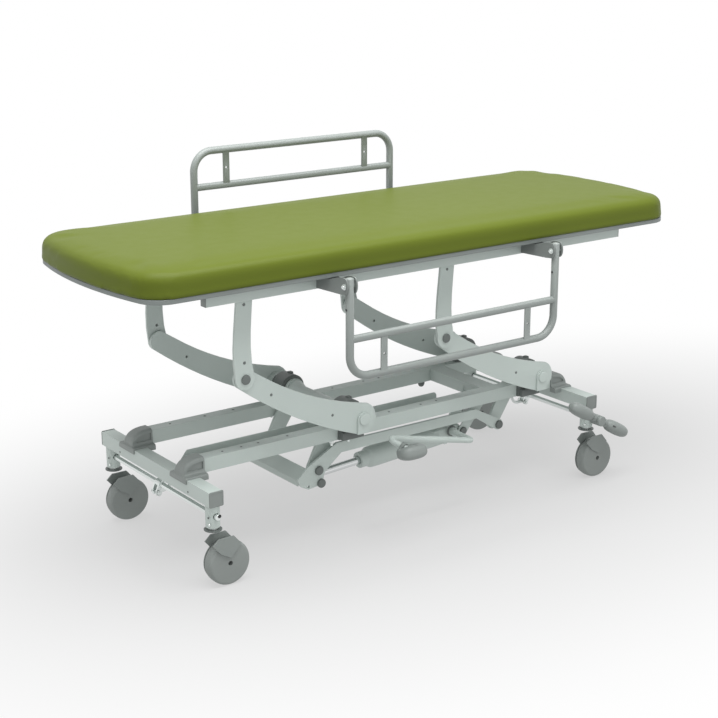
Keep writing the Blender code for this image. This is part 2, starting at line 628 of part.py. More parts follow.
def pump_body(parent):
    """Gland collar, barrel, valve block and rear eye, bored for the rod."""
    axis = on_ram(1) - on_ram(0)
    barrel = turned([(0, ROD_RADIUS + GAP), (0, 23.5), (1.5, 25), (28, 25), (32, 32), (286, 32), (286, 0),
                     (BORE_DEPTH, 0), (BORE_DEPTH, ROD_RADIUS + GAP)], on_ram(GLAND_AT), axis, 20)
    tilt = Matrix.Rotation(-RAM_TILT, 4, "Y")
    block = rounded_box((-50, -26, -24), (50, 26, 26), 5, 1)
    bmesh.ops.transform(block, matrix=Matrix.Translation(on_ram(GLAND_AT + 318)) @ tilt, verts=block.verts)
    plug = rod(on_ram(GLAND_AT + 330, 0, -20), on_ram(GLAND_AT + 330, 0, -33), 10, 12)
    relief = rod(on_ram(GLAND_AT + 302, 0, -20), on_ram(GLAND_AT + 302, 0, -31), 8, 12)
    eye = rod(on_ram(PUMP_EYE_AT, -20), on_ram(PUMP_EYE_AT, 20), 16, 20)
    hub = across_y(*LEVER_PIVOT, RAM_Y - BOSS_REACH, RAM_Y - 20, 14, 20)
    piece("pump_body", joined(barrel, block, plug, relief, eye, hub), "frame", parent)


LEVER_CORNERS = [(LEVER_PIVOT[0], RAM_Y - BOSS_REACH - 2 * GAP, LEVER_PIVOT[1]), (179, -254, 212.5),
                 (-132, -254, 284), (-108, -330, 261)]


def pump_lever(parent):
    """Bent round bar from the pump's shaft to the pedal, and the oval pedal pad on its end."""
    start = Vector(LEVER_CORNERS[0]) + Vector((0, -8, 0))
    bar = swept(bent_path([start] + LEVER_CORNERS[1:], 16, 4), LEVER_RADIUS, 10)
    hub = across_y(*LEVER_PIVOT, RAM_Y - BOSS_REACH - GAP - 18, RAM_Y - BOSS_REACH - GAP, 12, 20)
    piece("pump_lever", joined(hub, bar), "frame", parent)
    pad = bmesh.new()
    bmesh.ops.create_uvsphere(pad, u_segments=16, v_segments=8, radius=1)
    for v in pad.verts:
        v.co = Vector([abs(c) ** 0.8 * (1 if c > 0 else -1) for c in v.co])
    tip = Vector(LEVER_CORNERS[-1])
    shape = Matrix.Translation(tip + Vector((2, -1, -1))) @ Matrix.Rotation(radians(-14), 4, "X") @ \
        Matrix.Diagonal((44, 31, 19, 1))
    bmesh.ops.transform(pad, matrix=shape, verts=pad.verts)
    way = (Vector(LEVER_CORNERS[-2]) - tip).normalized()
    room = rod(tip - way, tip + way * 70, LEVER_RADIUS + 2 * GAP, 16)
    piece("pump_pedal", cut(pad, room), "plastic", parent)


lift_axis = empty_at("lift_axis", (AXLE_X[0], 0, AXLE_Z))
right_axis = empty_at("right_arm_axis", (AXLE_X[1], 0, AXLE_Z))
tie_axis = empty_at("tie_axis", (AXLE_X[0] + CRANK_RUN, 0, AXLE_Z + CRANK_DROP), lift_axis)
pump_axis = empty_at("pump_axis", on_ram(GLAND_AT), tie_axis)
lever_axis = empty_at("lever_axis", (LEVER_PIVOT[0], RAM_Y, LEVER_PIVOT[1]), pump_axis)
top_axis = empty_at("top_axis", (AXLE_X[0] + ARM_RUN, 0, AXLE_Z + ARM_RISE), lift_axis)
for (end_name, end), x, axis in zip(ENDS, AXLE_X, (lift_axis, right_axis)):
    torsion_tube(f"torsion_tube_{end_name}", x, (-1, 1) if end < 0 else (-1,), axis)
    for side_name, side in SIDES:
        arm_plate(f"arm_{side_name}_{end_name}", side, x, axis)
tie_bar("tie_bar_near", -1, tie_axis)
tie_bar("tie_plate_far", 1, tie_axis)
tie_cross_piece(tie_axis)
ram_rod(tie_axis)
pump_body(pump_axis)
pump_lever(lever_axis)


# ---- top frame ----------------------------------------------------------------------------
def bed_outline(inset):
    """Rounded rectangle with bowed short ends; each quarter is an edge arc and a corner arc."""
    length, width = PAD_LENGTH / 2 - inset, PAD_WIDTH / 2 - inset
    radius = CORNER_RADIUS - inset
    bow_radius = (width ** 2 + END_BOW ** 2) / (2 * END_BOW)
    bow_centre = length - bow_radius
    reach_y = width - radius
    corner_x = bow_centre + sqrt((bow_radius - radius) ** 2 - reach_y ** 2)
    bow_angle = atan2(reach_y, corner_x - bow_centre) * 180 / pi
    quarter = arc((bow_centre, 0), bow_radius, 0, bow_angle, 4)[:-1]
    quarter += arc((corner_x, reach_y), radius, bow_angle, 90, 6)
    half = quarter + [(-x, y) for x, y in quarter[::-1]]
    return half + [(x, -y) for x, y in half[::-1] if abs(y) > 0.01]


def mattress(parent):
    """Plain cushion solid with rolled edges."""
    thickness = PAD_TOP - PAD_BOTTOM
    bm = bmesh.new()
    rings = []
    for i in range(7):
        angle = pi * i / 6
        inset = (26 if i <= 3 else 14) * (1 - sin(angle))
        z = (PAD_TOP + PAD_BOTTOM) / 2 + thickness / 2 * cos(angle)
        rings.append([bm.verts.new((x, y, z)) for x, y in bed_outline(inset)])
    for ring, following in zip(rings, rings[1:]):
        for k in range(len(ring)):
            j = (k + 1) % len(ring)
            bm.faces.new((ring[k], ring[j], following[j], following[k]))
    bm.faces.new(rings[0])
    bm.faces.new(rings[-1])
    piece("mattress", bm, "vinyl", parent)


def board(parent):
    top = PAD_BOTTOM - GAP
    piece("bed_board", prism(bed_outline(BOARD_INSET), "Z", top - BOARD_THICKNESS, top), "board", parent)


def top_rail(name, side, parent):
    y0, y1 = mirrored(side, RAIL_IN, RAIL_OUT)
    piece(name, square_tube("X", *RAIL_ENDS, (y0, RAIL_BOTTOM), (y1, RAIL_TOP)), "frame", parent)


def top_cross_member(name, x, parent):
    """Flat box member behind the legs that ties the rails together."""
    inner = LEG_IN - GAP
    member = square_tube("Y", -inner, inner, (x - 22, RAIL_TOP - 32), (x + 22, RAIL_TOP - 2))
    piece(name, member, "frame", parent)


def drop_leg(name, side, x, parent):
    """Slightly bowed flat leg from the top rail down to an upper pivot."""
    top, pivot_z = 790.0, AXLE_Z + ARM_RISE

    def edge(sign):
        points = []
        for i in range(7):
            t = i / 6
            z = top + (pivot_z - top) * t
            bow = 3.5 * (1 - t) ** 2 - 55 * t * t * (1 - t)
            points.append((x + bow + sign * (24.5 + 5 * t ** 2.5), z))
        return points

    outline = edge(1) + arc((x, pivot_z), 29.5, -15, -165, 8) + edge(-1)[::-1]
    plate = prism(outline, "Y", *mirrored(side, LEG_IN, LEG_OUT))
    ys = mirrored(side, LEG_IN - 5, LEG_OUT + 5)
    holes = [across_y(x, pivot_z, *ys, 9.3, 20), across_y(x - 2, 582.5, *ys, 4.2, 10),
             across_y(x, 739, *ys, 4.2, 10)]
    piece(name, cut(plate, *holes), "frame", parent)


def guard_bracket(name, side, end, parent):
    """Clevis bracket on the rail's outer face: two cheeks, a foot and a closed top."""
    x = end * GUARD_X
    root, tip = RAIL_OUT + GAP, GUARD_Y
    edge = PAD_WIDTH / 2 - BOARD_INSET + 4          # just outside the board
    outline = [(root, 758), (root, 794), (edge, 794), (tip - 24, 806), (tip - 10, 808)]
    outline += [(tip + 13 * cos(radians(a)), 786 + 22 * sin(radians(a))) for a in range(75, -91, -15)]
    outline += [(tip - 20, 762)]
    outer_faces = (x - BRACKET_HALF, x + BRACKET_HALF - 4)
    cheeks = [prism([(side * y, z) for y, z in outline], "X", x0, x0 + 4) for x0 in outer_faces]
    lid = prism([(side * y, z) for y, z in ((root, 790), (root, 794), (edge, 794), (tip - 28, 804),
                                              (tip - 28, 800), (edge, 790))],
                "X", x - 16, x + 16)
    foot = prism([(side * y, z) for y, z in ((root, 758), (root + 4, 758), (root + 4, 794), (root, 794))],
                 "X", x - 16, x + 16)
    y, z = side * GUARD_Y, GUARD_PIVOT_Z
    bores = [rod((x - 30, y, z), (x + 30, y, z), 5 + GAP, 14)]
    if end > 0:
        lock_y = side * (GUARD_Y - LOCK_INSET)
        bores.append(rod((x + 5, lock_y, z), (x + 40, lock_y, z), 4.2 + GAP, 12))
    piece(name, cut(joined(cheeks[0], cheeks[1], lid, foot), *bores), "guard", parent)


def lock_plunger(name, side, parent):
    """Sprung plunger with a round knob in the right-hand bracket."""
    x, y, z = GUARD_X + BRACKET_HALF, side * (GUARD_Y - LOCK_INSET), GUARD_PIVOT_Z
    profile = [(-12, 0), (-12, 4.2), (GAP, 4.2), (GAP, 8), (5, 8), (5, 6), (9, 6), (9, 12), (20, 12), (20, 0)]
    piece(name, turned(profile, (x, y, z), (1, 0, 0), 12), "plastic", parent)


def side_rail(name, side, hanging, parent):
    """Bent outer tube with a middle tube, two flat uprights and the pivot pins."""
    down = -1 if hanging else 1

    def at(x, away):
        return Vector((x, side * GUARD_Y, GUARD_PIVOT_Z + down * away))

    hoop = swept(bent_path([at(-GUARD_X, -19), at(-GUARD_X, GUARD_DROP), at(GUARD_X, GUARD_DROP),
                            at(GUARD_X, -19)], GUARD_BEND, 5), GUARD_TUBE, 12)
    middle = rod(at(-GUARD_X, GUARD_MID), at(GUARD_X, GUARD_MID), GUARD_TUBE - 0.5, 12)
    bars = []
    for x in (-GUARD_BAR_X, GUARD_BAR_X):
        z0, z1 = sorted((at(0, GUARD_MID).z, at(0, GUARD_DROP).z))
        bars.append(box((x - 12, side * GUARD_Y - 3, z0), (x + 12, side * GUARD_Y + 3, z1)))
    pins = [rod(at(x - 19, 0), at(x + 19, 0), 5, 12) for x in (-GUARD_X, GUARD_X)]
    holes = []
    for x in (-GUARD_BAR_X, GUARD_BAR_X):
        centre = at(x, (GUARD_MID + GUARD_DROP) / 2)
        holes.append(rod(centre - Vector((0, 9, 0)), centre + Vector((0, 9, 0)), 2.8, 8))
    piece(name, cut(joined(hoop, middle, *bars, *pins), *holes), "guard", parent)


board(top_axis)
mattress(top_axis)
for (end_name, _), x in zip(ENDS, AXLE_X):
    top_cross_member(f"top_cross_member_{end_name}", x + ARM_RUN, top_axis)
for side_name, side in SIDES:
    top_rail(f"top_rail_{side_name}", side, top_axis)
    for end_name, end in ENDS:
        guard_bracket(f"guard_bracket_{side_name}_{end_name}", side, end, top_axis)
    for (end_name, _), x in zip(ENDS, AXLE_X):
        drop_leg(f"drop_leg_{side_name}_{end_name}", side, x + ARM_RUN, top_axis)
    knob_at = (GUARD_X + BRACKET_HALF, side * (GUARD_Y - LOCK_INSET), GUARD_PIVOT_Z)
    plunger_axis = empty_at(f"plunger_axis_{side_name}", knob_at, top_axis)
    lock_plunger(f"lock_plunger_{side_name}", side, plunger_axis)
    guard_axis = empty_at(f"guard_axis_{side_name}", (0, side * GUARD_Y, GUARD_PIVOT_Z), top_axis)
    side_rail(f"side_rail_{side_name}", side, side < 0, guard_axis)
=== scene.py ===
"""Looks of the stretcher trolley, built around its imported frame.

Same frame as the model: +X towards the brake pedal, +Y to the far side, +Z up.
Sizes in this file are in millimetres, and MM turns them into metres.
"""
import json
from math import atan2, cos, pi, radians, sin, sqrt
import bpy
import bmesh
from mathutils import Matrix, Vector


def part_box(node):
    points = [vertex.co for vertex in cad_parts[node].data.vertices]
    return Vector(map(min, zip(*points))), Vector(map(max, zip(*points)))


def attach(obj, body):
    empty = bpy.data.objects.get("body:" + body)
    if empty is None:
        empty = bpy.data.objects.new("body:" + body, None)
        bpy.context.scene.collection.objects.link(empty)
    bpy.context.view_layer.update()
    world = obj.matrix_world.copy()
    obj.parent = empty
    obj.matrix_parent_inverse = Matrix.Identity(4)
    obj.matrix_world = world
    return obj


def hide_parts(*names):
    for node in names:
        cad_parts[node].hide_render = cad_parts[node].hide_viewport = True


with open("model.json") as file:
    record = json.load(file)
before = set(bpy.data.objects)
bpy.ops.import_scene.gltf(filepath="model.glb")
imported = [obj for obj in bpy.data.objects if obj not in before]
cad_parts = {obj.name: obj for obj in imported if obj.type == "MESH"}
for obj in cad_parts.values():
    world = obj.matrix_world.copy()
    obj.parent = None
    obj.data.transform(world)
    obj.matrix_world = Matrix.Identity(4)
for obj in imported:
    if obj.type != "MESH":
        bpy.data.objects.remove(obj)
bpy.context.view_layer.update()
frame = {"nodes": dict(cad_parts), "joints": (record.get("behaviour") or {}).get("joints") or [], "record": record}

MM = 0.001
SIDES = (("near", -1), ("far", 1))
ENDS = (("left", -1), ("right", 1))
node_body = {node: body for body, nodes in frame["record"]["behaviour"]["bodies"].items()
             for node in nodes}
node_slot = {part["node"]: part["material_slot"] for part in frame["record"]["subparts"]}
joint_at = {j["name"]: Vector(j["pos_m"]) / MM for j in frame["joints"] if "pos_m" in j}


def corners(node):
    """Lowest and highest corner of a model node, in millimetres."""
    low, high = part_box(node)
    return low / MM, high / MM


# ---- materials ----------------------------------------------------------------------------
def surface(name, colour, roughness, metallic=0.0, mottle=0.05, grain=900.0, bump=0.1, cells=False,
            stretch=(1, 1, 1), specular=0.5, uneven=0.05):
    """A shader with soft mottling, uneven gloss and a fine grain, all in the piece's own space."""
    made = bpy.data.materials.new(name)
    made.use_nodes = True
    nodes, links = made.node_tree.nodes, made.node_tree.links
    shader = nodes["Principled BSDF"]
    shader.inputs["Metallic"].default_value = metallic
    shader.inputs["Specular IOR Level"].default_value = specular
    place = nodes.new("ShaderNodeTexCoord")
    scaled = nodes.new("ShaderNodeMapping")
    scaled.inputs["Scale"].default_value = stretch
    links.new(place.outputs["Object"], scaled.inputs["Vector"])

    def noise(scale, detail):
        made_noise = nodes.new("ShaderNodeTexNoise")
        made_noise.inputs["Scale"].default_value = scale
        made_noise.inputs["Detail"].default_value = detail
        links.new(scaled.outputs["Vector"], made_noise.inputs["Vector"])
        return made_noise.outputs["Fac"]

    broad = nodes.new("ShaderNodeMath")
    broad.operation = "ADD"
    links.new(noise(7.0, 3.0), broad.inputs[0])
    speck = nodes.new("ShaderNodeMath")
    speck.operation = "MULTIPLY"
    speck.inputs[1].default_value = 0.35
    links.new(noise(grain * 0.4, 2.0), speck.inputs[0])
    links.new(speck.outputs[0], broad.inputs[1])
    blend = nodes.new("ShaderNodeMapRange")
    blend.inputs["From Min"].default_value = 0.35
    blend.inputs["From Max"].default_value = 1.0
    links.new(broad.outputs[0], blend.inputs["Value"])
    tint = nodes.new("ShaderNodeMix")
    tint.data_type = "RGBA"
    tint.inputs["A"].default_value = (*[c * (1 - mottle) for c in colour], 1)
    tint.inputs["B"].default_value = (*[min(1.0, c * (1 + mottle)) for c in colour], 1)
    links.new(blend.outputs["Result"], tint.inputs["Factor"])
    links.new(tint.outputs["Result"], shader.inputs["Base Color"])
    gloss = nodes.new("ShaderNodeMapRange")
    gloss.inputs["From Min"].default_value = 0.3
    gloss.inputs["From Max"].default_value = 0.7
    gloss.inputs["To Min"].default_value = roughness - uneven
    gloss.inputs["To Max"].default_value = roughness + uneven
    links.new(noise(28.0, 3.0), gloss.inputs["Value"])
    links.new(gloss.outputs["Result"], shader.inputs["Roughness"])
    relief = nodes.new("ShaderNodeBump")
    relief.inputs["Strength"].default_value = bump
    relief.inputs["Distance"].default_value = 0.0004
    if cells:
        pebble = nodes.new("ShaderNodeTexVoronoi")
        pebble.feature = "SMOOTH_F1"
        pebble.inputs["Scale"].default_value = grain
        links.new(scaled.outputs["Vector"], pebble.inputs["Vector"])
        links.new(pebble.outputs["Distance"], relief.inputs["Height"])
    else:
        links.new(noise(grain, 2.0), relief.inputs["Height"])
    links.new(relief.outputs["Normal"], shader.inputs["Normal"])
    return made


LOOKS = {
    "frame_paint": surface("frame_powder_coat", (0.435, 0.492, 0.466), 0.42, mottle=0.035, grain=1400,
                           bump=0.16),
    "rail_paint": surface("rail_powder_coat", (0.212, 0.234, 0.224), 0.40, mottle=0.04, grain=1400,
                          bump=0.16),
    "grey_plastic": surface("moulded_grey", (0.205, 0.228, 0.218), 0.46, mottle=0.05, grain=2600,
                            bump=0.22, cells=True),
    "tyre": surface("tyre_rubber", (0.215, 0.236, 0.226), 0.62, mottle=0.07, grain=1700, bump=0.3),
    "chrome": surface("polished_chrome", (0.74, 0.76, 0.76), 0.14, 1.0, mottle=0.02, grain=500,
                      bump=0.03, stretch=(0.05, 1, 1)),
    "zinc": surface("bright_zinc", (0.74, 0.78, 0.765), 0.27, 0.9, mottle=0.08, grain=700, bump=0.12,
                    stretch=(1, 0.08, 1)),
    "board": surface("laminated_board", (0.165, 0.185, 0.178), 0.5, mottle=0.12, grain=1100, bump=0.2),
    "vinyl": surface("green_vinyl", (0.087, 0.112, 0.0125), 0.42, mottle=0.012, grain=620, bump=0.09,
                     cells=True, specular=0.1, uneven=0.015),
}
# The guard brackets use the rail paint darkened throughout: painted shade for their shaded left-facing cheeks.
bracket_shade_paint = surface("bracket_coat_darkened_for_shade", (0.150, 0.166, 0.159), 0.42, mottle=0.04, grain=1400,
                        bump=0.16)
dark_plastic = surface("dark_caps", (0.115, 0.130, 0.124), 0.42, mottle=0.08, grain=2200, bump=0.2,
                       cells=True)
cap_plastic = surface("end_cap_grey", (0.195, 0.215, 0.206), 0.5, mottle=0.05, grain=2400, bump=0.25,
                      cells=True)
black = surface("black_plastic", (0.012, 0.013, 0.013), 0.35, mottle=0.2, grain=1800, bump=0.2)


# ---- mesh helpers (all take millimetres) --------------------------------------------------
def shaded(name, bm, smooth=38.0):
    """Turn a bmesh in millimetres into an object in metres, shaded smooth up to an angle."""
    bmesh.ops.scale(bm, vec=(MM, MM, MM), verts=bm.verts)
    bmesh.ops.recalc_face_normals(bm, faces=bm.faces)
    mesh = bpy.data.meshes.new(name)
    bm.to_mesh(mesh)
    bm.free()
    mesh.shade_smooth()
    mesh.set_sharp_from_angle(angle=radians(smooth))
    made = bpy.data.objects.new(name, mesh)
    bpy.context.scene.collection.objects.link(made)
    return made


def piece(name, bm, body, slot, look=None, stands_for=(), bevel=0.0, smooth=38.0):
    """Finish a piece: its material (the slot's look unless a look is given), softened edges, its body and the
    nodes that it stands for.
    """
    made = shaded(name, bm, smooth)
    made.data.materials.append(look or LOOKS[slot])
    if bevel:
        soften(made, bevel)
    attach(made, body)
    if stands_for:
        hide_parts(*stands_for)
    return made


def soften(made, width):
    """Round every edge sharper than 42 degrees."""
    edge = made.modifiers.new("soft_edges", "BEVEL")
    edge.width = width * MM
    edge.segments = 2
    edge.limit_method = "ANGLE"
    edge.angle_limit = radians(42)
    edge.harden_normals = True


def refined(node, width=0.8, look=None):
    """A copy of a model node with welded corners and softened edges, which stands for the node."""
    bm = bmesh.new()
    bm.from_mesh(frame["nodes"][node].data)
    bmesh.ops.scale(bm, vec=(1 / MM, 1 / MM, 1 / MM), verts=bm.verts)
    bmesh.ops.remove_doubles(bm, verts=bm.verts, dist=0.002)
    bmesh.ops.dissolve_limit(bm, angle_limit=radians(0.5), verts=bm.verts, edges=bm.edges)
    return piece(f"{node}_finished", bm, node_body[node], node_slot[node], look, [node], bevel=width)


def box(low, high):
    bm = bmesh.new()
    centre = [(a + b) / 2 for a, b in zip(low, high)]
    size = [b - a for a, b in zip(low, high)]
    bmesh.ops.create_cube(bm, size=1, matrix=Matrix.Translation(centre) @ Matrix.Diagonal((*size, 1)))
    return bm


def rounded_box(low, high, radius, segments=4):
    bm = box(low, high)
    bmesh.ops.bevel(bm, geom=bm.edges, offset=radius, segments=segments, profile=0.5, affect="EDGES")
    return bm


def rod(start, end, radius, sides=40):
    start, end = Vector(start), Vector(end)
    axis = end - start
    turn = axis.to_track_quat("Z", "Y").to_matrix().to_4x4()
    bm = bmesh.new()
    bmesh.ops.create_cone(bm, cap_ends=True, segments=sides, radius1=radius, radius2=radius,
                          depth=axis.length, matrix=Matrix.Translation((start + end) / 2) @ turn)
    return bm


def prism(outline, axis, start, end):
    """Extrude a closed outline along an axis. The outline holds the two other coordinates in order."""
    bm = bmesh.new()
    index = "XYZ".index(axis)
    ring = []
    for a, b in outline:
        point = [a, b]
        point.insert(index, start)
        ring.append(bm.verts.new(point))
    face = bm.faces.new(ring)
    grown = bmesh.ops.extrude_face_region(bm, geom=[face])
    shift = [0, 0, 0]
    shift[index] = end - start
    bmesh.ops.translate(bm, vec=shift,
                        verts=[v for v in grown["geom"] if isinstance(v, bmesh.types.BMVert)])
    return bm


def turned(profile, start, direction, sides=48):
    """Turn a profile of (distance along, radius) about a line; radius 0 closes it."""
    bm = bmesh.new()
    place = Matrix.Translation(start) @ Vector(direction).to_track_quat("Z", "Y").to_matrix().to_4x4()
    rings = []
    for step in range(sides):
        angle = 2 * pi * step / sides
        rings.append([bm.verts.new(place @ Vector((r * cos(angle), r * sin(angle), s)))
                      for s, r in profile])
    closed = profile[0][1] > 0 and profile[-1][1] > 0
    for step in range(sides):
        ring, following = rings[step], rings[(step + 1) % sides]
        for i in range(len(profile) if closed else len(profile) - 1):
            j = (i + 1) % len(profile)
            bm.faces.new((ring[i], following[i], following[j], ring[j]))
    bmesh.ops.remove_doubles(bm, verts=bm.verts, dist=0.001)
    return bm


def arc(centre, radius, start, end, steps):
    """Points of an arc in a plane, angles in degrees, both ends included."""
    angles = [radians(start + (end - start) * i / steps) for i in range(steps + 1)]
    return [(centre[0] + radius * cos(a), centre[1] + radius * sin(a)) for a in angles]


def filleted(profile, radius, steps=4):
    """Round a polyline's inner corners, each within its neighbours' reach."""
    points = [Vector(p) for p in profile]
    made = [tuple(points[0])]
    for before, corner, after in zip(points, points[1:], points[2:]):
        to_before, to_after = before - corner, after - corner
        reach = min(radius, to_before.length * 0.49, to_after.length * 0.49)
        first, last = corner + to_before.normalized() * reach, corner + to_after.normalized() * reach
        for i in range(steps + 1):
            t = i / steps
            made.append(tuple((1 - t) ** 2 * first + 2 * t * (1 - t) * corner + t * t * last))
    return made + [tuple(points[-1])]


def bent_path(points, bend, steps=12):
    """A polyline whose inner corners are rounded to a bend radius."""
    points = [Vector(p) for p in points]
    path = [points[0]]
    for before, corner, after in zip(points, points[1:], points[2:]):
        u, v = (before - corner).normalized(), (after - corner).normalized()
        half = u.angle(v) / 2
        centre = corner + (u + v).normalized() * bend / sin(half)
        tangent = bend / (sin(half) / cos(half))
        first, last = corner + u * tangent - centre, corner + v * tangent - centre
        turn = first.angle(last)
        for i in range(steps + 1):
            t = i / steps
            path.append(centre + (first * sin((1 - t) * turn) + last * sin(t * turn)) / sin(turn))
    return path + [points[-1]]


def swept(path, radius, sides=28):
    """A round bar along a path, its ends closed by shallow domes."""
    dome = 0.35
    bm = bmesh.new()
    tangents = []
    for i in range(len(path)):
        ahead = path[min(i + 1, len(path) - 1)] - path[i]
        behind = path[i] - path[max(i - 1, 0)]
        tangents.append(((ahead.normalized() if ahead.length else Vector()) +
                         (behind.normalized() if behind.length else Vector())).normalized())
    stations = [(p, t, 1.0) for p, t in zip(path, tangents)]
    for first, t_first, sign in ((path[0], tangents[0], -1), (path[-1], tangents[-1], 1)):
        caps = [(first + t_first * sign * radius * dome * sin(a), t_first, cos(a))
                for a in (radians(30), radians(55), radians(75))]
        stations = caps[::-1] + stations if sign < 0 else stations + caps
    across, last, rings = tangents[0].orthogonal().normalized(), tangents[0], []
    for point, tangent, share in stations:
        across = last.rotation_difference(tangent) @ across
        over = tangent.cross(across)
        last = tangent
        rings.append([bm.verts.new(point + radius * share * (cos(2 * pi * k / sides) * across +
                                                             sin(2 * pi * k / sides) * over))
                      for k in range(sides)])
    for ring, following in zip(rings, rings[1:]):
        for k in range(sides):
            bm.faces.new((ring[k], ring[(k + 1) % sides], following[(k + 1) % sides], following[k]))
    bm.faces.new(rings[0])
    bm.faces.new(rings[-1])
    return bm


def combined(kept, tools, operation):
    """Boolean of one bmesh with others in turn, returned as a bmesh in millimetres."""
    base = shaded("work", kept)
    for tool_mesh in tools:
        tool = shaded("tool", tool_mesh)
        change = base.modifiers.new("change", "BOOLEAN")
        change.operation = operation
        change.object = tool
        bpy.context.view_layer.update()
        graph = bpy.context.evaluated_depsgraph_get()
        solved = bpy.data.meshes.new_from_object(base.evaluated_get(graph))
        base.modifiers.clear()
        base.data = solved
        bpy.data.objects.remove(tool, do_unlink=True)
    bm = bmesh.new()
    bm.from_mesh(base.data)
    bmesh.ops.scale(bm, vec=(1 / MM, 1 / MM, 1 / MM), verts=bm.verts)
    bpy.data.objects.remove(base, do_unlink=True)
    return bm


def joined(kept, *tools):
    return combined(kept, tools, "UNION")


def cut(kept, *tools):
    return combined(kept, tools, "DIFFERENCE")


def disc(name, at, direction, radius, height, body, slot, look=None, edge=1.0, dish=0.0):
    """A turned cap or bolt head on a face, with a rounded rim and an optional dished middle."""
    profile = [(0, 0), (0, radius), (height, radius), (height - dish, radius * 0.45), (height - dish, 0)]
    return piece(name, turned(filleted(profile, edge), at, direction, 32), body, slot, look)


def hex_bolt(name, at, direction, flats, height, body, washer=0.0):
    """A bright hexagon head with a chamfered top, on a washer if that has a thickness."""
    radius = flats / sqrt(3)
    head = turned([(washer, 0), (washer, radius), (height * 0.8, radius), (height, radius * 0.84),
                   (height, 0)], at, direction, 6)
    if washer:
        head = joined(head, turned(filleted([(0, 0), (0, flats * 0.82), (washer + 0.2, flats * 0.82),
                                             (washer + 0.2, 0)], 0.3), at, direction, 32))
    return piece(name, head, body, "zinc", bevel=0.3)


# ---- mattress and board -------------------------------------------------------------------
PAD_LOW, PAD_HIGH = corners("mattress")
END_BOW, CORNER_RADIUS, PAD_CORNER = 42.0, 82.0, 98.0


def bed_outline(inset, corner=CORNER_RADIUS):
    """Rounded rectangle with bowed short ends, counted so that its points are evenly spread."""
    corner_steps, bow_steps, side_steps = 14, 16, 40
    length, width = PAD_HIGH.x - inset, PAD_HIGH.y - inset
    radius = corner - inset
    bow_radius = (width ** 2 + END_BOW ** 2) / (2 * END_BOW)
    bow_centre = length - bow_radius
    reach_y = width - radius
    corner_x = bow_centre + sqrt((bow_radius - radius) ** 2 - reach_y ** 2)
    bow_angle = atan2(reach_y, corner_x - bow_centre) * 180 / pi
    quarter = arc((bow_centre, 0), bow_radius, 0, bow_angle, bow_steps)[:-1]
    quarter += arc((corner_x, reach_y), radius, bow_angle, 90, corner_steps)
    side = [(corner_x * (1 - 2 * i / side_steps), width) for i in range(1, side_steps)]
    half = quarter + side + [(-x, y) for x, y in quarter[::-1]]
    return half + [(x, -y) for x, y in half[::-1] if abs(y) > 0.01]


def pad_form(shrink):
    """The cushion before it swells: flat below, an edge roll round the board, a crowned top."""
    bottom, top = PAD_LOW.z, PAD_HIGH.z - shrink
    edge = 29.0
    section = [(20.0, bottom), (11.5, bottom - 1), (8.5, bottom - 5.5), (5.0, bottom - 6.5),
               (2.0 + shrink * 0.3, bottom - 2.5), (0.6 + shrink * 0.5, bottom + 5),
               (shrink * 0.6, bottom + 16)]
    section += [(edge * (1 - cos(a)) + shrink * 0.6, top - edge + edge * sin(a)) for a in
                [radians(10 * i) for i in range(0, 10)]]
    crown = [(edge + 45 * i, top + 1.6 * (1 - (1 - i / 5) ** 2)) for i in range(1, 6)]
    bm = bmesh.new()
    rings = [[bm.verts.new((x, y, z)) for x, y in bed_outline(inset, PAD_CORNER)]
             for inset, z in section]
    last = bed_outline(section[-1][0], PAD_CORNER)
    for inset, z in crown:
        share = 1 - (inset - edge) / (PAD_HIGH.y - edge)
        rings.append([bm.verts.new((x * (1 - (1 - share) * 0.35), y * share, z)) for x, y in last])
    for ring, following in zip(rings, rings[1:]):
        for k in range(len(ring)):
            j = (k + 1) % len(ring)
            bm.faces.new((ring[k], ring[j], following[j], following[k]))
    bm.faces.new(rings[0])
    bm.faces.new(rings[-1])
    return bm


def swell(pad, pressure, cap):
    """Inflate a pad with cloth, let no point move further than the cap, and keep the result."""
    held = pad.vertex_groups.new(name="held")
    floor_z = (PAD_LOW.z + 9) * MM
    held.add([v.index for v in pad.data.vertices if v.co.z < floor_z], 1.0, "REPLACE")
    cloth = pad.modifiers.new("cloth", "CLOTH")
    made = cloth.settings
    made.quality = 5
    made.mass = 0.4
    made.tension_stiffness = made.compression_stiffness = 60
    made.shear_stiffness = 30
    made.bending_stiffness = 8
    made.use_pressure = True
    made.uniform_pressure_force = pressure
    made.vertex_group_mass = "held"
    made.effector_weights.gravity = 0
    cloth.collision_settings.use_collision = False
    rest = [v.co.copy() for v in pad.data.vertices]
    scene = bpy.context.scene
    for step in range(1, 21):
        scene.frame_set(step)
    swollen = pad.evaluated_get(bpy.context.evaluated_depsgraph_get()).data
    moved = [v.co.copy() for v in swollen.vertices]
    pad.modifiers.remove(cloth)
    pad.vertex_groups.clear()
    scene.frame_set(1)
    for vertex, before, after in zip(pad.data.vertices, rest, moved):
        step = after - before
        if step.length > cap * MM:
            step *= cap * MM / step.length
        vertex.co = before + step


def mattress():
    shrink = 4.0
    pad = shaded("mattress_cushion", pad_form(shrink), 80)
    even = pad.modifiers.new("even", "REMESH")
    even.mode = "VOXEL"
    even.voxel_size = 0.009
    even.use_smooth_shade = True
    bpy.context.view_layer.update()
    mesh = bpy.data.meshes.new_from_object(pad.evaluated_get(bpy.context.evaluated_depsgraph_get()))
    pad.modifiers.clear()
    pad.data = mesh
    swell(pad, 4.0, 5.0)
    smoother = pad.modifiers.new("smoother", "SMOOTH")
    smoother.factor, smoother.iterations = 0.5, 6
    finer = pad.modifiers.new("finer", "SUBSURF")
    finer.levels = finer.render_levels = 1
    pad.data.materials.clear()
    pad.data.materials.append(LOOKS["vinyl"])
    pad.data.shade_smooth()
    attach(pad, "top_frame")
    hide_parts("mattress")


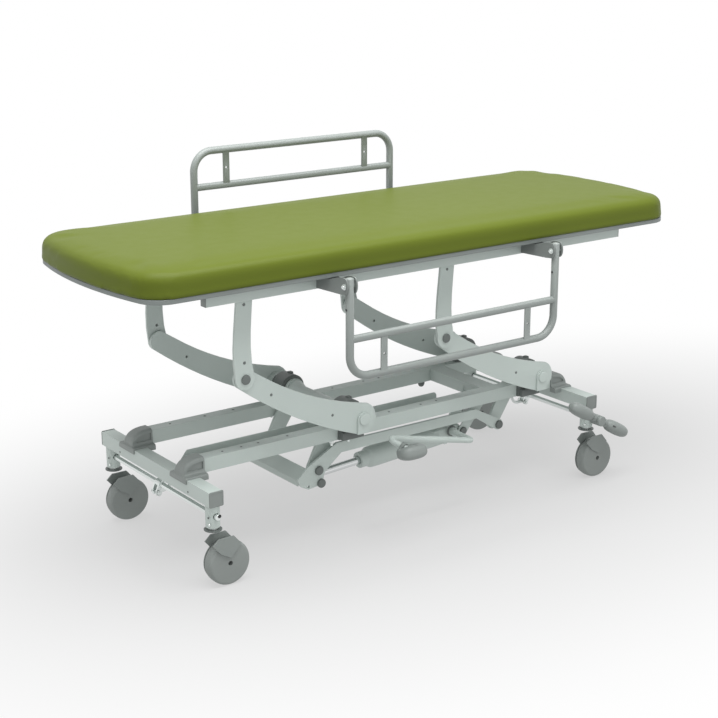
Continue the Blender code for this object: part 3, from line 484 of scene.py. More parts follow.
def bed_board():
    low, high = corners("bed_board")
    inset = PAD_HIGH.x - high.x
    made = prism(bed_outline(inset), "Z", low.z, high.z)
    piece("bed_board_laminate", made, "top_frame", "board", stands_for=["bed_board"], bevel=2.2)
    for side_name, side in SIDES:
        for end_name, end in ENDS:
            at = (end * 600, side * 280, low.z)
            disc(f"board_screw_{side_name}_{end_name}", at, (0, 0, -1), 6.5, 1.6, "top_frame", "zinc",
                 edge=0.7, dish=0.8)


mattress()
bed_board()


# ---- side rails ---------------------------------------------------------------------------
GUARD_DROP, GUARD_MID = 249.0, 143.6         # pivot to the outer tube, pivot to the middle tube
GUARD_TUBE, GUARD_BEND = 11.0, 60.0
GUARD_X, GUARD_BAR_X = 362.0, 255.0
GUARD_PIVOT = {"near": joint_at["side_rail_near_swing"], "far": joint_at["side_rail_far_swing"]}


def side_rail(side_name, down):
    """One bent tube, a coped middle tube, two flat uprights notched over it, and the pivot pins."""
    pivot = GUARD_PIVOT[side_name]

    def at(x, away):
        return Vector((x, pivot.y, pivot.z + down * away))

    hoop = swept(bent_path([at(-GUARD_X, -19), at(-GUARD_X, GUARD_DROP), at(GUARD_X, GUARD_DROP),
                            at(GUARD_X, -19)], GUARD_BEND, 14), GUARD_TUBE, 32)
    middle = rod(at(-GUARD_X, GUARD_MID), at(GUARD_X, GUARD_MID), GUARD_TUBE - 0.5, 32)
    uprights, holes = [], []
    for x in (-GUARD_BAR_X, GUARD_BAR_X):
        z0, z1 = sorted((at(0, GUARD_MID + 6).z, at(0, GUARD_DROP + 1).z))
        uprights.append(rounded_box((x - 10.8, pivot.y - 9, z0), (x + 10.8, pivot.y - 4.6, z1), 1.0, 2))
        middle_at = at(x, (GUARD_MID + GUARD_DROP) / 2)
        holes.append(rod(middle_at + Vector((0, -14, 0)), middle_at + Vector((0, 9, 0)), 3.4, 20))
    solid = cut(joined(hoop, middle, *uprights), *holes)
    body = f"side_rail_{side_name}"
    piece(f"{body}_tubes", solid, body, "rail_paint", stands_for=[body], smooth=42)
    for end_name, end in ENDS:
        x = end * GUARD_X
        piece(f"{body}_pivot_pin_{end_name}", rod(at(x - 18.5, 0), at(x + 18.5, 0), 4.9, 28), body,
              "zinc")
        hex_bolt(f"{body}_pivot_head_{end_name}", at(x - 17.3, 0), (-1, 0, 0), 10, 6.5, body, washer=1.2)
        disc(f"{body}_pivot_nut_{end_name}", at(x + 17.3, 0), (1, 0, 0), 7, 5, body, "grey_plastic",
             dark_plastic, 1.8)
        disc(f"{body}_stop_{end_name}", at(x - GUARD_TUBE + 0.6, 62), (-1, 0, 0), 3.4, 1.8, body,
             "grey_plastic", black, 0.6)


side_rail("near", -1)
side_rail("far", 1)
for side_name, side in SIDES:
    for end_name, end in ENDS:
        # The brackets get the darkened rail paint, which is painted shade.
        refined(f"guard_bracket_{side_name}_{end_name}", 1.1, bracket_shade_paint)
    node = f"lock_plunger_{side_name}"
    low, high = corners(node)
    centre = (low + high) / 2
    profile = [(0, 0), (0, 4.1), (12.2, 4.1), (12.2, 8), (17, 8), (17, 6), (21, 6), (21, 12), (24, 12),
               (24, 11), (26, 11), (26, 12), (29, 12), (29, 11), (32, 11), (32, 0)]
    knob = turned(filleted(profile, 0.8), (low.x, centre.y, centre.z), (1, 0, 0), 36)
    piece(f"{node}_knob", knob, node, "grey_plastic", dark_plastic, [node])


# ---- castors ------------------------------------------------------------------------------
WHEEL_RADIUS, WHEEL_WIDTH = 62.5, 36.0
COVER_IN, COVER_OUT = WHEEL_WIDTH / 2 + 1.2, WHEEL_WIDTH / 2 + 5.5
HUB_RADIUS, HUB_BOTTOM, HUB_HEIGHT = 31.5, 123.0, 45.5


def rim_edges(bm):
    """Edges that lie in a plane square to Y: the two rims of a prism along Y."""
    return [e for e in bm.edges if abs(e.verts[0].co.y - e.verts[1].co.y) < 0.01]


def castor(tag):
    """Swivel hub with a sunk top, a smooth hood and two stepped cover discs, with the tyre between."""
    low, high = corners(f"castor_wheel_{tag}")
    wheel = (low + high) / 2
    x, y = joint_at[f"castor_swivel_{tag}"].x, wheel.y
    hub_profile = [(0, 0), (0, HUB_RADIUS), (HUB_HEIGHT, HUB_RADIUS), (HUB_HEIGHT, 25),
                   (HUB_HEIGHT - 6, 25), (HUB_HEIGHT - 6, 0)]
    hub = turned(filleted(hub_profile, 2.4, 5), (x, y, HUB_BOTTOM), (0, 0, 1), 64)
    outline = [(x + 3, 112), (x + 3, 158), (x + 20, 160.5), (x + 34, 160.5), (x + 48, 157.5),
               (x + 60, 151), (x + 69, 142.5), (x + 75, 133)]
    outline += arc((wheel.x, WHEEL_RADIUS), 66, 56, 20, 8) + arc((wheel.x, WHEEL_RADIUS), 50, 20, 70, 5)
    hood = prism(outline + [(x + 40, 100)], "Y", y - COVER_OUT + 0.4, y + COVER_OUT - 0.4)
    bmesh.ops.bevel(hood, geom=rim_edges(hood), offset=5.0, segments=5, affect="EDGES",
                    clamp_overlap=True)
    plates = []
    for side in (-1, 1):
        face = COVER_OUT - COVER_IN
        cover = [(0, 0), (0, 59.5), (face - 1.4, 59.5), (face - 1.4, 56.4), (face, 55.6),
                 (face + 0.6, 0)]
        plates.append(turned(filleted(cover, 0.7, 3), (wheel.x, y + side * COVER_IN, WHEEL_RADIUS),
                             (0, side, 0), 88))
        web = [(x - 14, 124), (x + 4, 140), (x + 50, 140), (x + 72, 114), (x + 40, 80), (x + 8, 98)]
        plates.append(prism(web, "Y", *sorted((y + side * COVER_IN, y + side * (COVER_OUT - 0.5)))))
    room = rod((wheel.x, y - COVER_IN, WHEEL_RADIUS), (wheel.x, y + COVER_IN, WHEEL_RADIUS),
               WHEEL_RADIUS + 1.4, 96)
    solid = cut(joined(hub, hood, *plates), room)
    body = f"castor_{tag}"
    piece(f"castor_hood_{tag}", solid, body, "grey_plastic", stands_for=[f"castor_fork_{tag}"],
          smooth=34)
    stem = turned(filleted([(0, 0), (0, 14.4), (27, 14.4), (27, 0)], 1.0), (x, y, 160.6), (0, 0, 1), 40)
    piece(f"castor_stem_{tag}", stem, body, "zinc")
    seal = turned(filleted([(0, 14.8), (0, 24.4), (3.4, 24.4), (3.4, 14.8)], 1.0) + [(0, 14.8)],
                  (x, y, 162.4), (0, 0, 1), 48)
    piece(f"castor_seal_{tag}", seal, body, "grey_plastic", dark_plastic)
    half = WHEEL_WIDTH / 2
    tread = [(-half, 6.8), (-half, 54), (-half + 0.6, 58), (-half + 5.5, 61.6),
             (-half + 11, WHEEL_RADIUS), (half - 11, WHEEL_RADIUS), (half - 5.5, 61.6), (half - 0.6, 58),
             (half, 54), (half, 6.8)]
    tyre = turned(filleted(tread, 2.5), wheel, (0, 1, 0), 96)
    piece(f"castor_tyre_{tag}", tyre, f"wheel_{tag}", "tyre", stands_for=[f"castor_wheel_{tag}"])


for side_name, side in SIDES:
    for end_name, end in ENDS:
        castor(f"{side_name}_{end_name}")


# ---- base ---------------------------------------------------------------------------------
BASE_X, TUBE_X = -50.0, 674.6                # middle of the base, and from there to a cross tube
CHANNEL_IN, CHANNEL_OUT = 122.0, 162.0       # |y| of a base channel's faces
CHANNEL_MID = (CHANNEL_IN + CHANNEL_OUT) / 2
CHANNEL_BOTTOM, CHANNEL_TOP = 275.0, 315.0
STUD_Y = 155.0                               # |y| of the housing studs, clear of the raised tie-bar
PUMP_MOUNT = (264.0, 186.0)                  # x, z of the cheeks' hole for the pump's rear eye
AXLE_Z = joint_at["lift"].z
AXLE_X = {"left": joint_at["lift"].x, "right": joint_at["right_arm_turn"].x}
SHAFT_Z = joint_at["brake_rocker"].z
SHAFT_X = {"left": joint_at["brake_left_turn"].x, "right": joint_at["brake_rocker"].x}


def mirrored(side, low, high):
    """|y| limits turned into ordered y limits on one side."""
    return (low, high) if side > 0 else (-high, -low)


def corner_cover(side_name, side, end_name, end):
    """Quarter-round dome with sunk sides, flared to a foot that hooks over the tube."""
    node = f"corner_cover_{side_name}_{end_name}"
    low, high = corners(node)
    back, front = (high.x, low.x) if end < 0 else (low.x, high.x)
    middle, floor_z, foot, dome = side * CHANNEL_MID, 264.0, 280.0, high.z
    reach, wall, shoulder, flare = abs(front - back) - 6.0, 24.0, 10.0, 9.0
    inner, outer = abs(low.y - middle), abs(high.y - middle)

    def half_section(top, foot_top, foot_width):
        """Points from the foot's lower edge up to the middle of the crown: distance out, height."""
        rise = max(0.6, top - foot_top)
        round_top, round_foot = min(shoulder, rise * 0.5), min(flare, rise * 0.45)
        points = [(foot_width, floor_z), (foot_width, foot_top - 6)]
        points += [(foot_width - 6 + 6 * cos(a), foot_top - 6 + 6 * sin(a)) for a in
                   [radians(15 * i) for i in range(1, 7)]]
        points += [(wall + round_foot * (1 - cos(a)), foot_top + round_foot * (1 - sin(a))) for a in
                   [radians(90 - 15 * i) for i in range(0, 7)]]
        points += [(wall - round_top * (1 - cos(a)), foot_top + rise - round_top * (1 - sin(a))) for a in
                   [radians(15 * i) for i in range(0, 7)]]
        return points + [(wall * 0.3, foot_top + rise)]

    stations = [(back + end * reach * sin(radians(a)) ** 0.75,
                 foot + (dome - foot) * cos(radians(a)) ** 0.75, foot) for a in range(0, 90, 4)]
    stations += [(front - end * (4 - 4 * sin(radians(b))), foot - 4 + 4 * cos(radians(b)) + 0.6,
                  foot - 4 + 4 * cos(radians(b))) for b in (0, 30, 60, 90)]
    bm = bmesh.new()
    rings = []
    for x, top, foot_top in stations:
        left = [(x, middle - out, z) for out, z in half_section(top, foot_top, inner)]
        right = [(x, middle + out, z) for out, z in half_section(top, foot_top, outer)]
        rings.append([bm.verts.new(point) for point in left + right[::-1]])
    for ring, following in zip(rings, rings[1:]):
        for k in range(len(ring)):
            j = (k + 1) % len(ring)
            bm.faces.new((ring[k], ring[j], following[j], following[k]))
    bm.faces.new(rings[0])
    bm.faces.new(rings[-1])
    rooms = []
    panel = [(back + end * 5, foot + flare)]
    panel += [(back + end * (5 + (reach - 17) * sin(radians(a))), foot + flare + 21 * cos(radians(a)))
              for a in range(90, -1, -6)]
    for out in (-1, 1):
        face = middle + out * wall
        rooms.append(prism(panel, "Y", *sorted((face - out * 3.2, face + out * 20))))
    tube_x = BASE_X + end * TUBE_X
    rooms.append(box((tube_x - 20.2, -400, 200), (tube_x + 20.2, 400, 275.0)))
    rooms.append(prism([(back - end * 20, 240), (back + end * 56, 240), (back + end * 56, 281),
                        (back + end * 19, CHANNEL_TOP + 0.3), (back - end * 20, CHANNEL_TOP + 0.3)],
                       "Y", *mirrored(side, CHANNEL_IN - 0.3, CHANNEL_OUT + 0.3)))
    piece(f"{node}_moulding", cut(bm, *rooms), "base", "grey_plastic", stands_for=[node], smooth=40)


def bearing_housing(side_name, side, end_name):
    """Saddle block with a stepped barrel and a bolt lug, its washer, and studs below the channel."""
    node = f"bearing_housing_{side_name}_{end_name}"
    x = AXLE_X[end_name]
    inner, outer = CHANNEL_IN - 2, 186.0
    outline = [(x - 40, CHANNEL_BOTTOM + 2), (x + 40, CHANNEL_BOTTOM + 2)]
    outline += arc((x, AXLE_Z), 41, -20, 200, 40)
    block = prism(outline, "Y", *mirrored(side, inner, outer - 12))
    bmesh.ops.bevel(block, geom=rim_edges(block), offset=3.5, segments=3, affect="EDGES",
                    clamp_overlap=True)
    barrel = turned(filleted([(0, 0), (0, 40), (14, 40), (14, 36.5), (19, 36.5), (19, 32), (24, 32),
                              (24, 0)], 1.6), (x, side * (outer - 24), AXLE_Z), (0, side, 0), 64)
    skirt_y = mirrored(side, CHANNEL_OUT - 6, outer)
    skirt = rounded_box((x - 37, skirt_y[0], CHANNEL_BOTTOM + 2),
                        (x + 37, skirt_y[1], CHANNEL_BOTTOM + 26), 3, 3)
    lug_y = mirrored(side, 140, 156)
    lug = rounded_box((x + 2, lug_y[0], AXLE_Z + 28), (x + 16, lug_y[1], AXLE_Z + 45), 3, 3)
    seat = box((x - 80, min(0, side * (CHANNEL_OUT + 0.3)), 200),
               (x + 80, max(0, side * (CHANNEL_OUT + 0.3)), CHANNEL_TOP + 0.3))
    bore = rod((x, side * 60, AXLE_Z), (x, side * 250, AXLE_Z), 20.3, 48)
    solid = cut(joined(block, barrel, skirt, lug), seat, bore)
    piece(f"{node}_moulding", solid, "base", "grey_plastic", dark_plastic, [node], smooth=34)
    washer = turned(filleted([(0, 20.8), (0, 30), (2.2, 30), (2.2, 20.8)], 0.6) + [(0, 20.8)],
                    (x, side * (outer + 6), AXLE_Z), (0, side, 0), 56)
    piece(f"thrust_washer_{side_name}_{end_name}", washer, f"{end_name}_arms", "zinc")
    for offset in ((-56, 3) if end_name == "left" else (0,)):
        stud_at = (x + offset, side * STUD_Y, CHANNEL_BOTTOM - 0.2)
        tag = f"{side_name}_{end_name}_{'inner' if offset >= 0 else 'outer'}"
        piece(f"channel_stud_{tag}", turned(filleted([(0, 0), (0, 4), (15, 4), (15, 0)], 0.8), stud_at,
                                            (0, 0, -1), 24), "base", "zinc")
        hex_bolt(f"channel_nut_{tag}", stud_at, (0, 0, -1), 13, 7, "base")


def square_outline(x, z, half, radius):
    """A square with rounded corners in the XZ plane."""
    points = []
    for start, sx, sz in ((0, 1, 1), (90, -1, 1), (180, -1, -1), (270, 1, -1)):
        points += arc((x + sx * (half - radius), z + sz * (half - radius)), radius, start, start + 90, 6)
    return points


def end_cap(name, y, side, x, z):
    """Moulded square cap in a cross tube's end, a little larger than the tube, with a sunk face."""
    plate = prism(square_outline(x, z, 21.6, 4.5), "Y", *sorted((y + side * 0.1, y + side * 3.2)))
    bmesh.ops.bevel(plate, geom=rim_edges(plate), offset=1.1, segments=3, affect="EDGES",
                    clamp_overlap=True)
    sink = prism(square_outline(x, z, 17.2, 2.5), "Y", *sorted((y + side * 2.6, y + side * 8)))
    piece(name, cut(plate, sink), "base", "grey_plastic", cap_plastic, smooth=40)


def cross_member():
    """Inverted U-section between the channels, with two narrow cheeks down to the pump's rear eye."""
    low, high = corners("base_cross_member")
    left, right, bottom = high.x - 56, high.x, CHANNEL_BOTTOM + 2
    eye_x, eye_z = PUMP_MOUNT
    section = [(left, bottom), (left + 4, bottom), (left + 4, high.z - 4), (right - 4, high.z - 4),
               (right - 4, bottom), (right, bottom), (right, high.z), (left, high.z)]
    cheeks = []
    for y in (-114.0, -46.0):
        outline = [(left + 2, high.z - 2), (left - 6, bottom + 6), (eye_x - 16, eye_z + 8)]
        outline += arc((eye_x, eye_z), 18, 160, 320, 12) + [(left + 36, bottom - 4),
                                                            (left + 36, high.z - 2)]
        cheeks.append(prism(outline, "Y", y, y + 4))
    solid = joined(prism(section, "Y", low.y, high.y), *cheeks)
    piece("cross_member_finished", solid, "base", "frame_paint", stands_for=["base_cross_member"],
          bevel=0.9)


HOLE_AT = {-1: (-608, -548, -494, -398, -43, 75, 134), 1: (-608, -494, -398, -43, 75, 134, 405)}
WIDE_HOLES = (-494, -398)
for side_name, side in SIDES:
    refined(f"base_channel_{side_name}", 1.2)
    # Dark dished discs sit in the channel holes: painted shade for the dark inside of each hole.
    for k, x in enumerate(HOLE_AT[side]):
        shade_disc_z = CHANNEL_TOP - 1.6
        radius = 4.1 if x in WIDE_HOLES else 3.4
        disc(f"channel_hole_shade_{side_name}_{k}", (x, side * CHANNEL_MID, shade_disc_z), (0, 0, 1), radius, 2.0,
             "base", "grey_plastic", dark_plastic, 0.5, dish=1.2)
    for end_name, end in ENDS:
        corner_cover(side_name, side, end_name, end)
        bearing_housing(side_name, side, end_name)
for end_name, end in ENDS:
    refined(f"cross_tube_{end_name}", 1.8)
    low, high = corners(f"cross_tube_{end_name}")
    shaft_x, tube_x = SHAFT_X[end_name], BASE_X + end * TUBE_X
    for side_name, side in SIDES:
        tag = f"{side_name}_{end_name}"
        end_cap(f"tube_cap_{tag}", side * high.y, side, tube_x + 0.8, high.z - 20)
        stem_y = joint_at[f"wheel_spin_{tag}"].y
        face = shaft_x - 19.4
        disc(f"socket_set_screw_{tag}", (face, stem_y - 11, SHAFT_Z - 2), (-1, 0, 0), 2.8, 1.2, "base",
             "zinc", black, 0.4)
        disc(f"socket_stop_screw_{tag}", (face + 2, stem_y - 13, SHAFT_Z - 22), (-1, 0, 0), 4.2, 2.6,
             "base", "zinc", edge=1.2)
        outer_face = tube_x + end * 20
        disc(f"tube_screw_{tag}", (outer_face, side * 190, high.z - 30), (end, 0, 0), 2.4, 0.9, "base",
             "grey_plastic", black, 0.3)
refined("inner_tray", 0.6)
cross_member()


# ---- brake --------------------------------------------------------------------------------
def brake_pedal():
    """Rocker pedal lofted along its length: two flattened lobes, a ribbed neck and a hub."""
    low, high = corners("brake_pedal")
    pivot = joint_at["brake_rocker"]
    tilt = radians(29.4)
    mid_y = (low.y + high.y) / 2
    place = Matrix.Translation((pivot.x, mid_y, pivot.z)) @ Matrix.Rotation(tilt, 4, "Y")
    sides = 40

    def half_sizes(u):
        """Half width along y and half height at a distance along the pedal."""
        away = abs(u)
        neck = (10.5 + (2.2 if 24 < away < 34 else 0.0)) if away < 60 else 0.0
        t = min(1.0, abs(away - 87) / 51)
        lobe = (1 - t ** 2.8) ** (1 / 2.8)
        return [max(0.3, (neck ** 5 + (half * lobe) ** 5) ** 0.2) for half in (24.0, 20.0)]

    stations = sorted([s * u for s in (-1, 1)
                       for u in [0, 10, 20, 23.5, 24.5, 29, 33.5, 34.5, 37, 40, 43, 46, 50, 55, 59.9, 66,
                                 72, 80, 88, 96, 104, 112, 119, 125, 129.5, 133, 135.5, 137.2, 137.9]])
    bm = bmesh.new()
    rings = []
    for u in stations:
        wide, tall = half_sizes(u)
        power = 0.84 if abs(u) > 52 else 1.0
        ring = []
        for k in range(sides):
            a = 2 * pi * k / sides
            c, s = cos(a), sin(a)
            y = wide * abs(c) ** power * (1 if c >= 0 else -1)
            z = tall * abs(s) ** power * (1 if s >= 0 else -1)
            ring.append(bm.verts.new(place @ Vector((u, y, z + 1))))
        rings.append(ring)
    for ring, following in zip(rings, rings[1:]):
        for k in range(sides):
            bm.faces.new((ring[k], ring[(k + 1) % sides], following[(k + 1) % sides], following[k]))
    bm.faces.new(rings[0])
    bm.faces.new(rings[-1])
    bmesh.ops.remove_doubles(bm, verts=bm.verts, dist=0.01)
    hub_profile = [(0, 0), (0, 16), (high.y - low.y - 5, 16), (high.y - low.y - 5, 0)]
    hub = turned(filleted(hub_profile, 3.0, 5), (pivot.x, low.y + 5, pivot.z), (0, 1, 0), 56)
    piece("brake_pedal_moulding", joined(bm, hub), "brake_right", "grey_plastic",
          stands_for=["brake_pedal"], smooth=46)
    key = rounded_box((50, -23.4, 1.2), (62, -14, 4.4), 0.8, 2)
    bmesh.ops.transform(key, matrix=place, verts=key.verts)
    piece("brake_pedal_key", key, "brake_right", "grey_plastic", black)


brake_pedal()
for end_name, end in ENDS:
    body = f"brake_{end_name}"
    refined(f"brake_shaft_{end_name}", 0.5)
    x = SHAFT_X[end_name]
    lever_pin = joint_at["brake_link_level"] - joint_at["brake_rocker"] + Vector((x, 0, SHAFT_Z))
    for side_name, side in SIDES:
        hex_bolt(f"lever_pin_head_{side_name}_{end_name}",
                 (lever_pin.x, lever_pin.y + side * 15.2, lever_pin.z), (0, side, 0), 10, 5.5, body,
                 washer=1.2)
        hex_bolt(f"lever_clamp_bolt_{side_name}_{end_name}", (x, side * 13.0, SHAFT_Z), (0, side, 0), 16,
                 3.2, body)
        shaft_end = corners(f"brake_shaft_{end_name}")[1].y
        if side > 0 or end < 0:
            disc(f"shaft_end_cap_{side_name}_{end_name}", (x, side * (shaft_end - 6), SHAFT_Z),
                 (0, side, 0), 8.4, 8.0, body, "zinc", edge=2.0)
            disc(f"shaft_end_plug_{side_name}_{end_name}",
                 (x + 3.0, side * (shaft_end + 1.6), SHAFT_Z + 3.6), (0, side, 0), 5.0, 1.6, body,
                 "grey_plastic", black, 0.4)
refined("brake_rod", 0.4)


# ---- lift ---------------------------------------------------------------------------------
ARM_OUT, LEG_OUT = 227.0, 237.0
TIE_OUT = 143.0


def domed_cap(name, at, side, radius, height, body):
    """Dark moulded cap over a pin, with a soft shoulder."""
    profile = [(0, 0), (0, radius), (height * 0.55, radius), (height * 0.86, radius * 0.86),
               (height, radius * 0.5), (height, 0)]
    cap = turned(filleted(profile, 1.6, 4), at, (0, side, 0), 40)
    piece(name, cap, body, "grey_plastic", dark_plastic)


for end_name, end in ENDS:
    refined(f"torsion_tube_{end_name}", 0.7)
    x = AXLE_X[end_name]
    body = f"{end_name}_arms"
    upper = joint_at["top_level"] + Vector((x - AXLE_X["left"], 0, 0))
    for side_name, side in SIDES:
        tag = f"{side_name}_{end_name}"
        refined(f"arm_{tag}", 1.3)
        boss = turned(filleted([(0, 0), (0, 17), (5, 17), (5.6, 13), (5.6, 0)], 1.2, 4),
                      (x + 2.6, side * (ARM_OUT + 5), AXLE_Z - 1.5), (0, side, 0), 56)
        piece(f"arm_boss_{tag}", boss, body, "frame_paint")
        domed_cap(f"pivot_cap_{tag}", (upper.x, side * (LEG_OUT + 0.8), upper.z), side, 13.5, 5.6, body)
        spacer = turned(filleted([(0, 9.5), (0, 24), (1.4, 24), (1.4, 9.5)], 0.4),
                        (upper.x, side * (ARM_OUT + 0.2), upper.z), (0, side, 0), 48)
        piece(f"pivot_spacer_{tag}", spacer, body, "zinc")
        slope = upper - Vector((x, 0, AXLE_Z))
        along = slope.normalized()
        below = Vector((along.z, 0, -along.x)) if along.x > 0 else Vector((-along.z, 0, along.x))
        plugs = [(Vector((x, 0, AXLE_Z)) + along * u + below * 17.5, ARM_OUT, body)
                 for u in (105.5, 327)]
        plugs += [(Vector((upper.x, 0, 739)), LEG_OUT, "top_frame"),
                  (Vector((upper.x - 2, 0, 582.5)), LEG_OUT, "top_frame")]
        for k, (at, face, carrier) in enumerate(plugs):
            disc(f"plate_screw_{tag}_{k}", (at.x, side * (face - 2), at.z), (0, side, 0), 3.9, 2.6,
                 carrier, "grey_plastic", dark_plastic, 0.7)
refined("tie_bar_near", 0.9)
refined("tie_plate_far", 0.9)
for side_name, side in SIDES:
    for end_name, end in ENDS[:1] if side > 0 else ENDS:
        crank_pin = joint_at["tie_level"] + Vector((AXLE_X[end_name] - AXLE_X["left"], 0, 0))
        domed_cap(f"crank_cap_{side_name}_{end_name}",
                  (crank_pin.x, side * (TIE_OUT + 0.3), crank_pin.z), side, 13.4, 9.5, "tie_bars")
refined("tie_cross_piece", 0.8)


# ---- pump ---------------------------------------------------------------------------------
RAM_Y = joint_at["pump_pedal_press"].y
RAM_PIN = (-286.0, 150.0)                    # x, z of the rod's eye
RAM_TILT = radians(3.2)
GLAND_AT, ROD_RADIUS = 179.0, 12.0           # the gland, measured along the ram from the rod's eye
RELIEF_AT, BLOCK_AT, DRAIN_AT, REAR_EYE_AT = GLAND_AT + 302, GLAND_AT + 318, GLAND_AT + 330, 551
LEVER_CORNERS = [Vector((179, -254, 212.5)), Vector((-132, -254, 284))]
LEVER_TIP = Vector((-108, -330, 261))


def on_ram(along, y=0.0, up=0.0):
    """A point on the ram's axis, measured from the rod's eye, with an offset across it."""
    return Vector((RAM_PIN[0] + along * cos(RAM_TILT) - up * sin(RAM_TILT), RAM_Y + y,
                   RAM_PIN[1] + along * sin(RAM_TILT) + up * cos(RAM_TILT)))


def pump():
    """Gland, barrel with a seam ring, valve block, plugs, rear eye and the lever's boss."""
    axis, downward = on_ram(1) - on_ram(0), on_ram(0, 0, -1) - on_ram(0)
    barrel_profile = [(2, ROD_RADIUS + 0.4), (0, 14.5), (0, 24), (24, 24.5), (36, 31.4), (60, 32),
                      (150, 32), (150, 31), (153, 31), (153, 32), (286, 32), (286, 0), (175, 0),
                      (175, ROD_RADIUS + 0.4)]
    barrel = turned(filleted(barrel_profile, 1.8, 4) + [(2, ROD_RADIUS + 0.4)], on_ram(GLAND_AT), axis,
                    64)
    tilt = Matrix.Rotation(-RAM_TILT, 4, "Y")
    block = rounded_box((-50, -26, -24), (50, 26, 26), 5, 4)
    bmesh.ops.transform(block, matrix=Matrix.Translation(on_ram(BLOCK_AT)) @ tilt, verts=block.verts)
    eye = turned(filleted([(0, 0), (0, 16), (40, 16), (40, 0)], 2, 4), on_ram(REAR_EYE_AT, -20),
                 (0, 1, 0), 48)
    low_boss = turned(filleted([(0, 0), (0, 10), (13, 10), (13, 0)], 1.5, 4), on_ram(DRAIN_AT, 0, -20),
                      downward, 32)
    relief = turned(filleted([(0, 0), (0, 8), (11, 8), (11, 0)], 1.5, 4), on_ram(RELIEF_AT, 0, -20),
                    downward, 32)
    pivot = joint_at["pump_pedal_press"]
    boss = turned(filleted([(0, 0), (0, 14), (14, 14), (14, 0)], 1.2, 4), (pivot.x, RAM_Y - 19, pivot.z),
                  (0, -1, 0), 48)
    solid = joined(barrel, block, eye, low_boss, relief, boss)
    piece("pump_housing", solid, "pump", "frame_paint", stands_for=["pump_body"], smooth=36)
    hex_bolt("pump_valve_screw", on_ram(RELIEF_AT, 0, -30.8), downward, 8, 4, "pump")
    hex_bolt("pump_drain_plug", on_ram(DRAIN_AT, 0, -32.8), downward, 11, 5, "pump")
    ring = turned(filleted([(0, 12.3), (0, 17), (4, 17), (4, 12.3)], 1.0),
                  (pivot.x, RAM_Y - 33, pivot.z), (0, -1, 0), 48)
    piece("lever_seal_ring", ring, "pump", "grey_plastic", dark_plastic)


def chrome_rod():
    """Polished rod with its rounded eye."""
    axis = on_ram(1) - on_ram(0)
    shaft = turned(filleted([(10, 0), (10, ROD_RADIUS), (232, ROD_RADIUS), (232, 0)], 1.0), on_ram(0),
                   axis, 56)
    eye = turned(filleted([(0, 0), (0, 17), (28, 17), (28, 0)], 1.6, 4),
                 (RAM_PIN[0], RAM_Y - 14, RAM_PIN[1]), (0, 1, 0), 56)
    bore = rod((RAM_PIN[0], RAM_Y - 30, RAM_PIN[1]), (RAM_PIN[0], RAM_Y + 30, RAM_PIN[1]), 8.3, 40)
    piece("ram_rod_polished", cut(joined(shaft, eye), bore), "tie_bars", "chrome",
          stands_for=["ram_rod"])


def pump_lever():
    """Bent round bar from the pump to its moulded foot pad."""
    pivot = joint_at["pump_pedal_press"]
    start = Vector((pivot.x, RAM_Y - 33.6, pivot.z))
    tip = LEVER_TIP
    points = [start + Vector((0, -8, 0)), *LEVER_CORNERS, tip]
    bar = swept(bent_path(points, 16, 12), 9, 32)
    hub = turned(filleted([(0, 0), (0, 12), (18, 12), (18, 0)], 1.5, 4), start + Vector((0, 0.3, 0)),
                 (0, -1, 0), 40)
    piece("pump_lever_bar", joined(hub, bar), "pump_lever", "frame_paint", stands_for=["pump_lever"])
    centre = tip + Vector((2, -1, -1))
    pad = bmesh.new()
    bmesh.ops.create_uvsphere(pad, u_segments=56, v_segments=28, radius=1)
    for v in pad.verts:
        v.co = Vector([abs(c) ** 0.72 * (1 if c > 0 else -1) for c in v.co])
        reach = (v.co.x + 0.2) ** 2 / 0.5 + v.co.y ** 2 / 0.42
        if v.co.z > 0 and reach < 1:
            v.co.z -= 0.24 * min(1.0, (1 - reach) * 4)
    size = Matrix.Diagonal((44, 32, 21.5, 1))
    bmesh.ops.transform(pad,
                        matrix=Matrix.Translation(centre) @ Matrix.Rotation(radians(-14), 4, "X") @ size,
                        verts=pad.verts)
    way = (points[-2] - tip).normalized()
    collar = turned(filleted([(0, 9.3), (0, 14.5), (12, 13), (12, 9.3)], 1.5, 3) + [(0, 9.3)],
                    tip + way * 22, way, 36)
    room = rod(tip - way, tip + way * 70, 9.4, 32)
    piece("pump_pedal_moulding", cut(pad, room), "pump_lever", "grey_plastic", stands_for=["pump_pedal"],
          smooth=50)
    piece("pump_pedal_collar", collar, "pump_lever", "grey_plastic")


pump()
chrome_rod()
pump_lever()
domed_cap("pump_rear_cap", (PUMP_MOUNT[0], -114.3, PUMP_MOUNT[1]), -1, 12.5, 8.0, "base")
domed_cap("pump_rear_cap_inner", (PUMP_MOUNT[0], -41.7, PUMP_MOUNT[1]), 1, 12.5, 6.0, "base")
ram_cap = (RAM_PIN[0], -(TIE_OUT + 0.3), RAM_PIN[1])
domed_cap("ram_pin_cap", ram_cap, -1, 13.4, 9.5, "tie_bars")
bumper = turned(filleted([(0, 0), (0, 11), (11, 11), (19, 7), (21.5, 0)], 2.5, 5),
                (304.6, CHANNEL_MID, CHANNEL_BOTTOM), (0, 0, -1), 40)
piece("far_stop_bumper", bumper, "base", "grey_plastic", dark_plastic)


# ---- top frame ----------------------------------------------------------------------------
for side_name, side in SIDES:
    refined(f"top_rail_{side_name}", 1.4)
    low, high = corners(f"top_rail_{side_name}")
    for end_name, end in ENDS:
        refined(f"drop_leg_{side_name}_{end_name}", 1.3)
        x = high.x if end > 0 else low.x
        plug = rounded_box((min(x, x + end * 1.8), low.y, low.z),
                           (max(x, x + end * 1.8), high.y, high.z), 0.8, 2)
        piece(f"rail_plug_{side_name}_{end_name}", plug, "top_frame", "grey_plastic", cap_plastic)
for end_name, end in ENDS:
    refined(f"top_cross_member_{end_name}", 1.4)


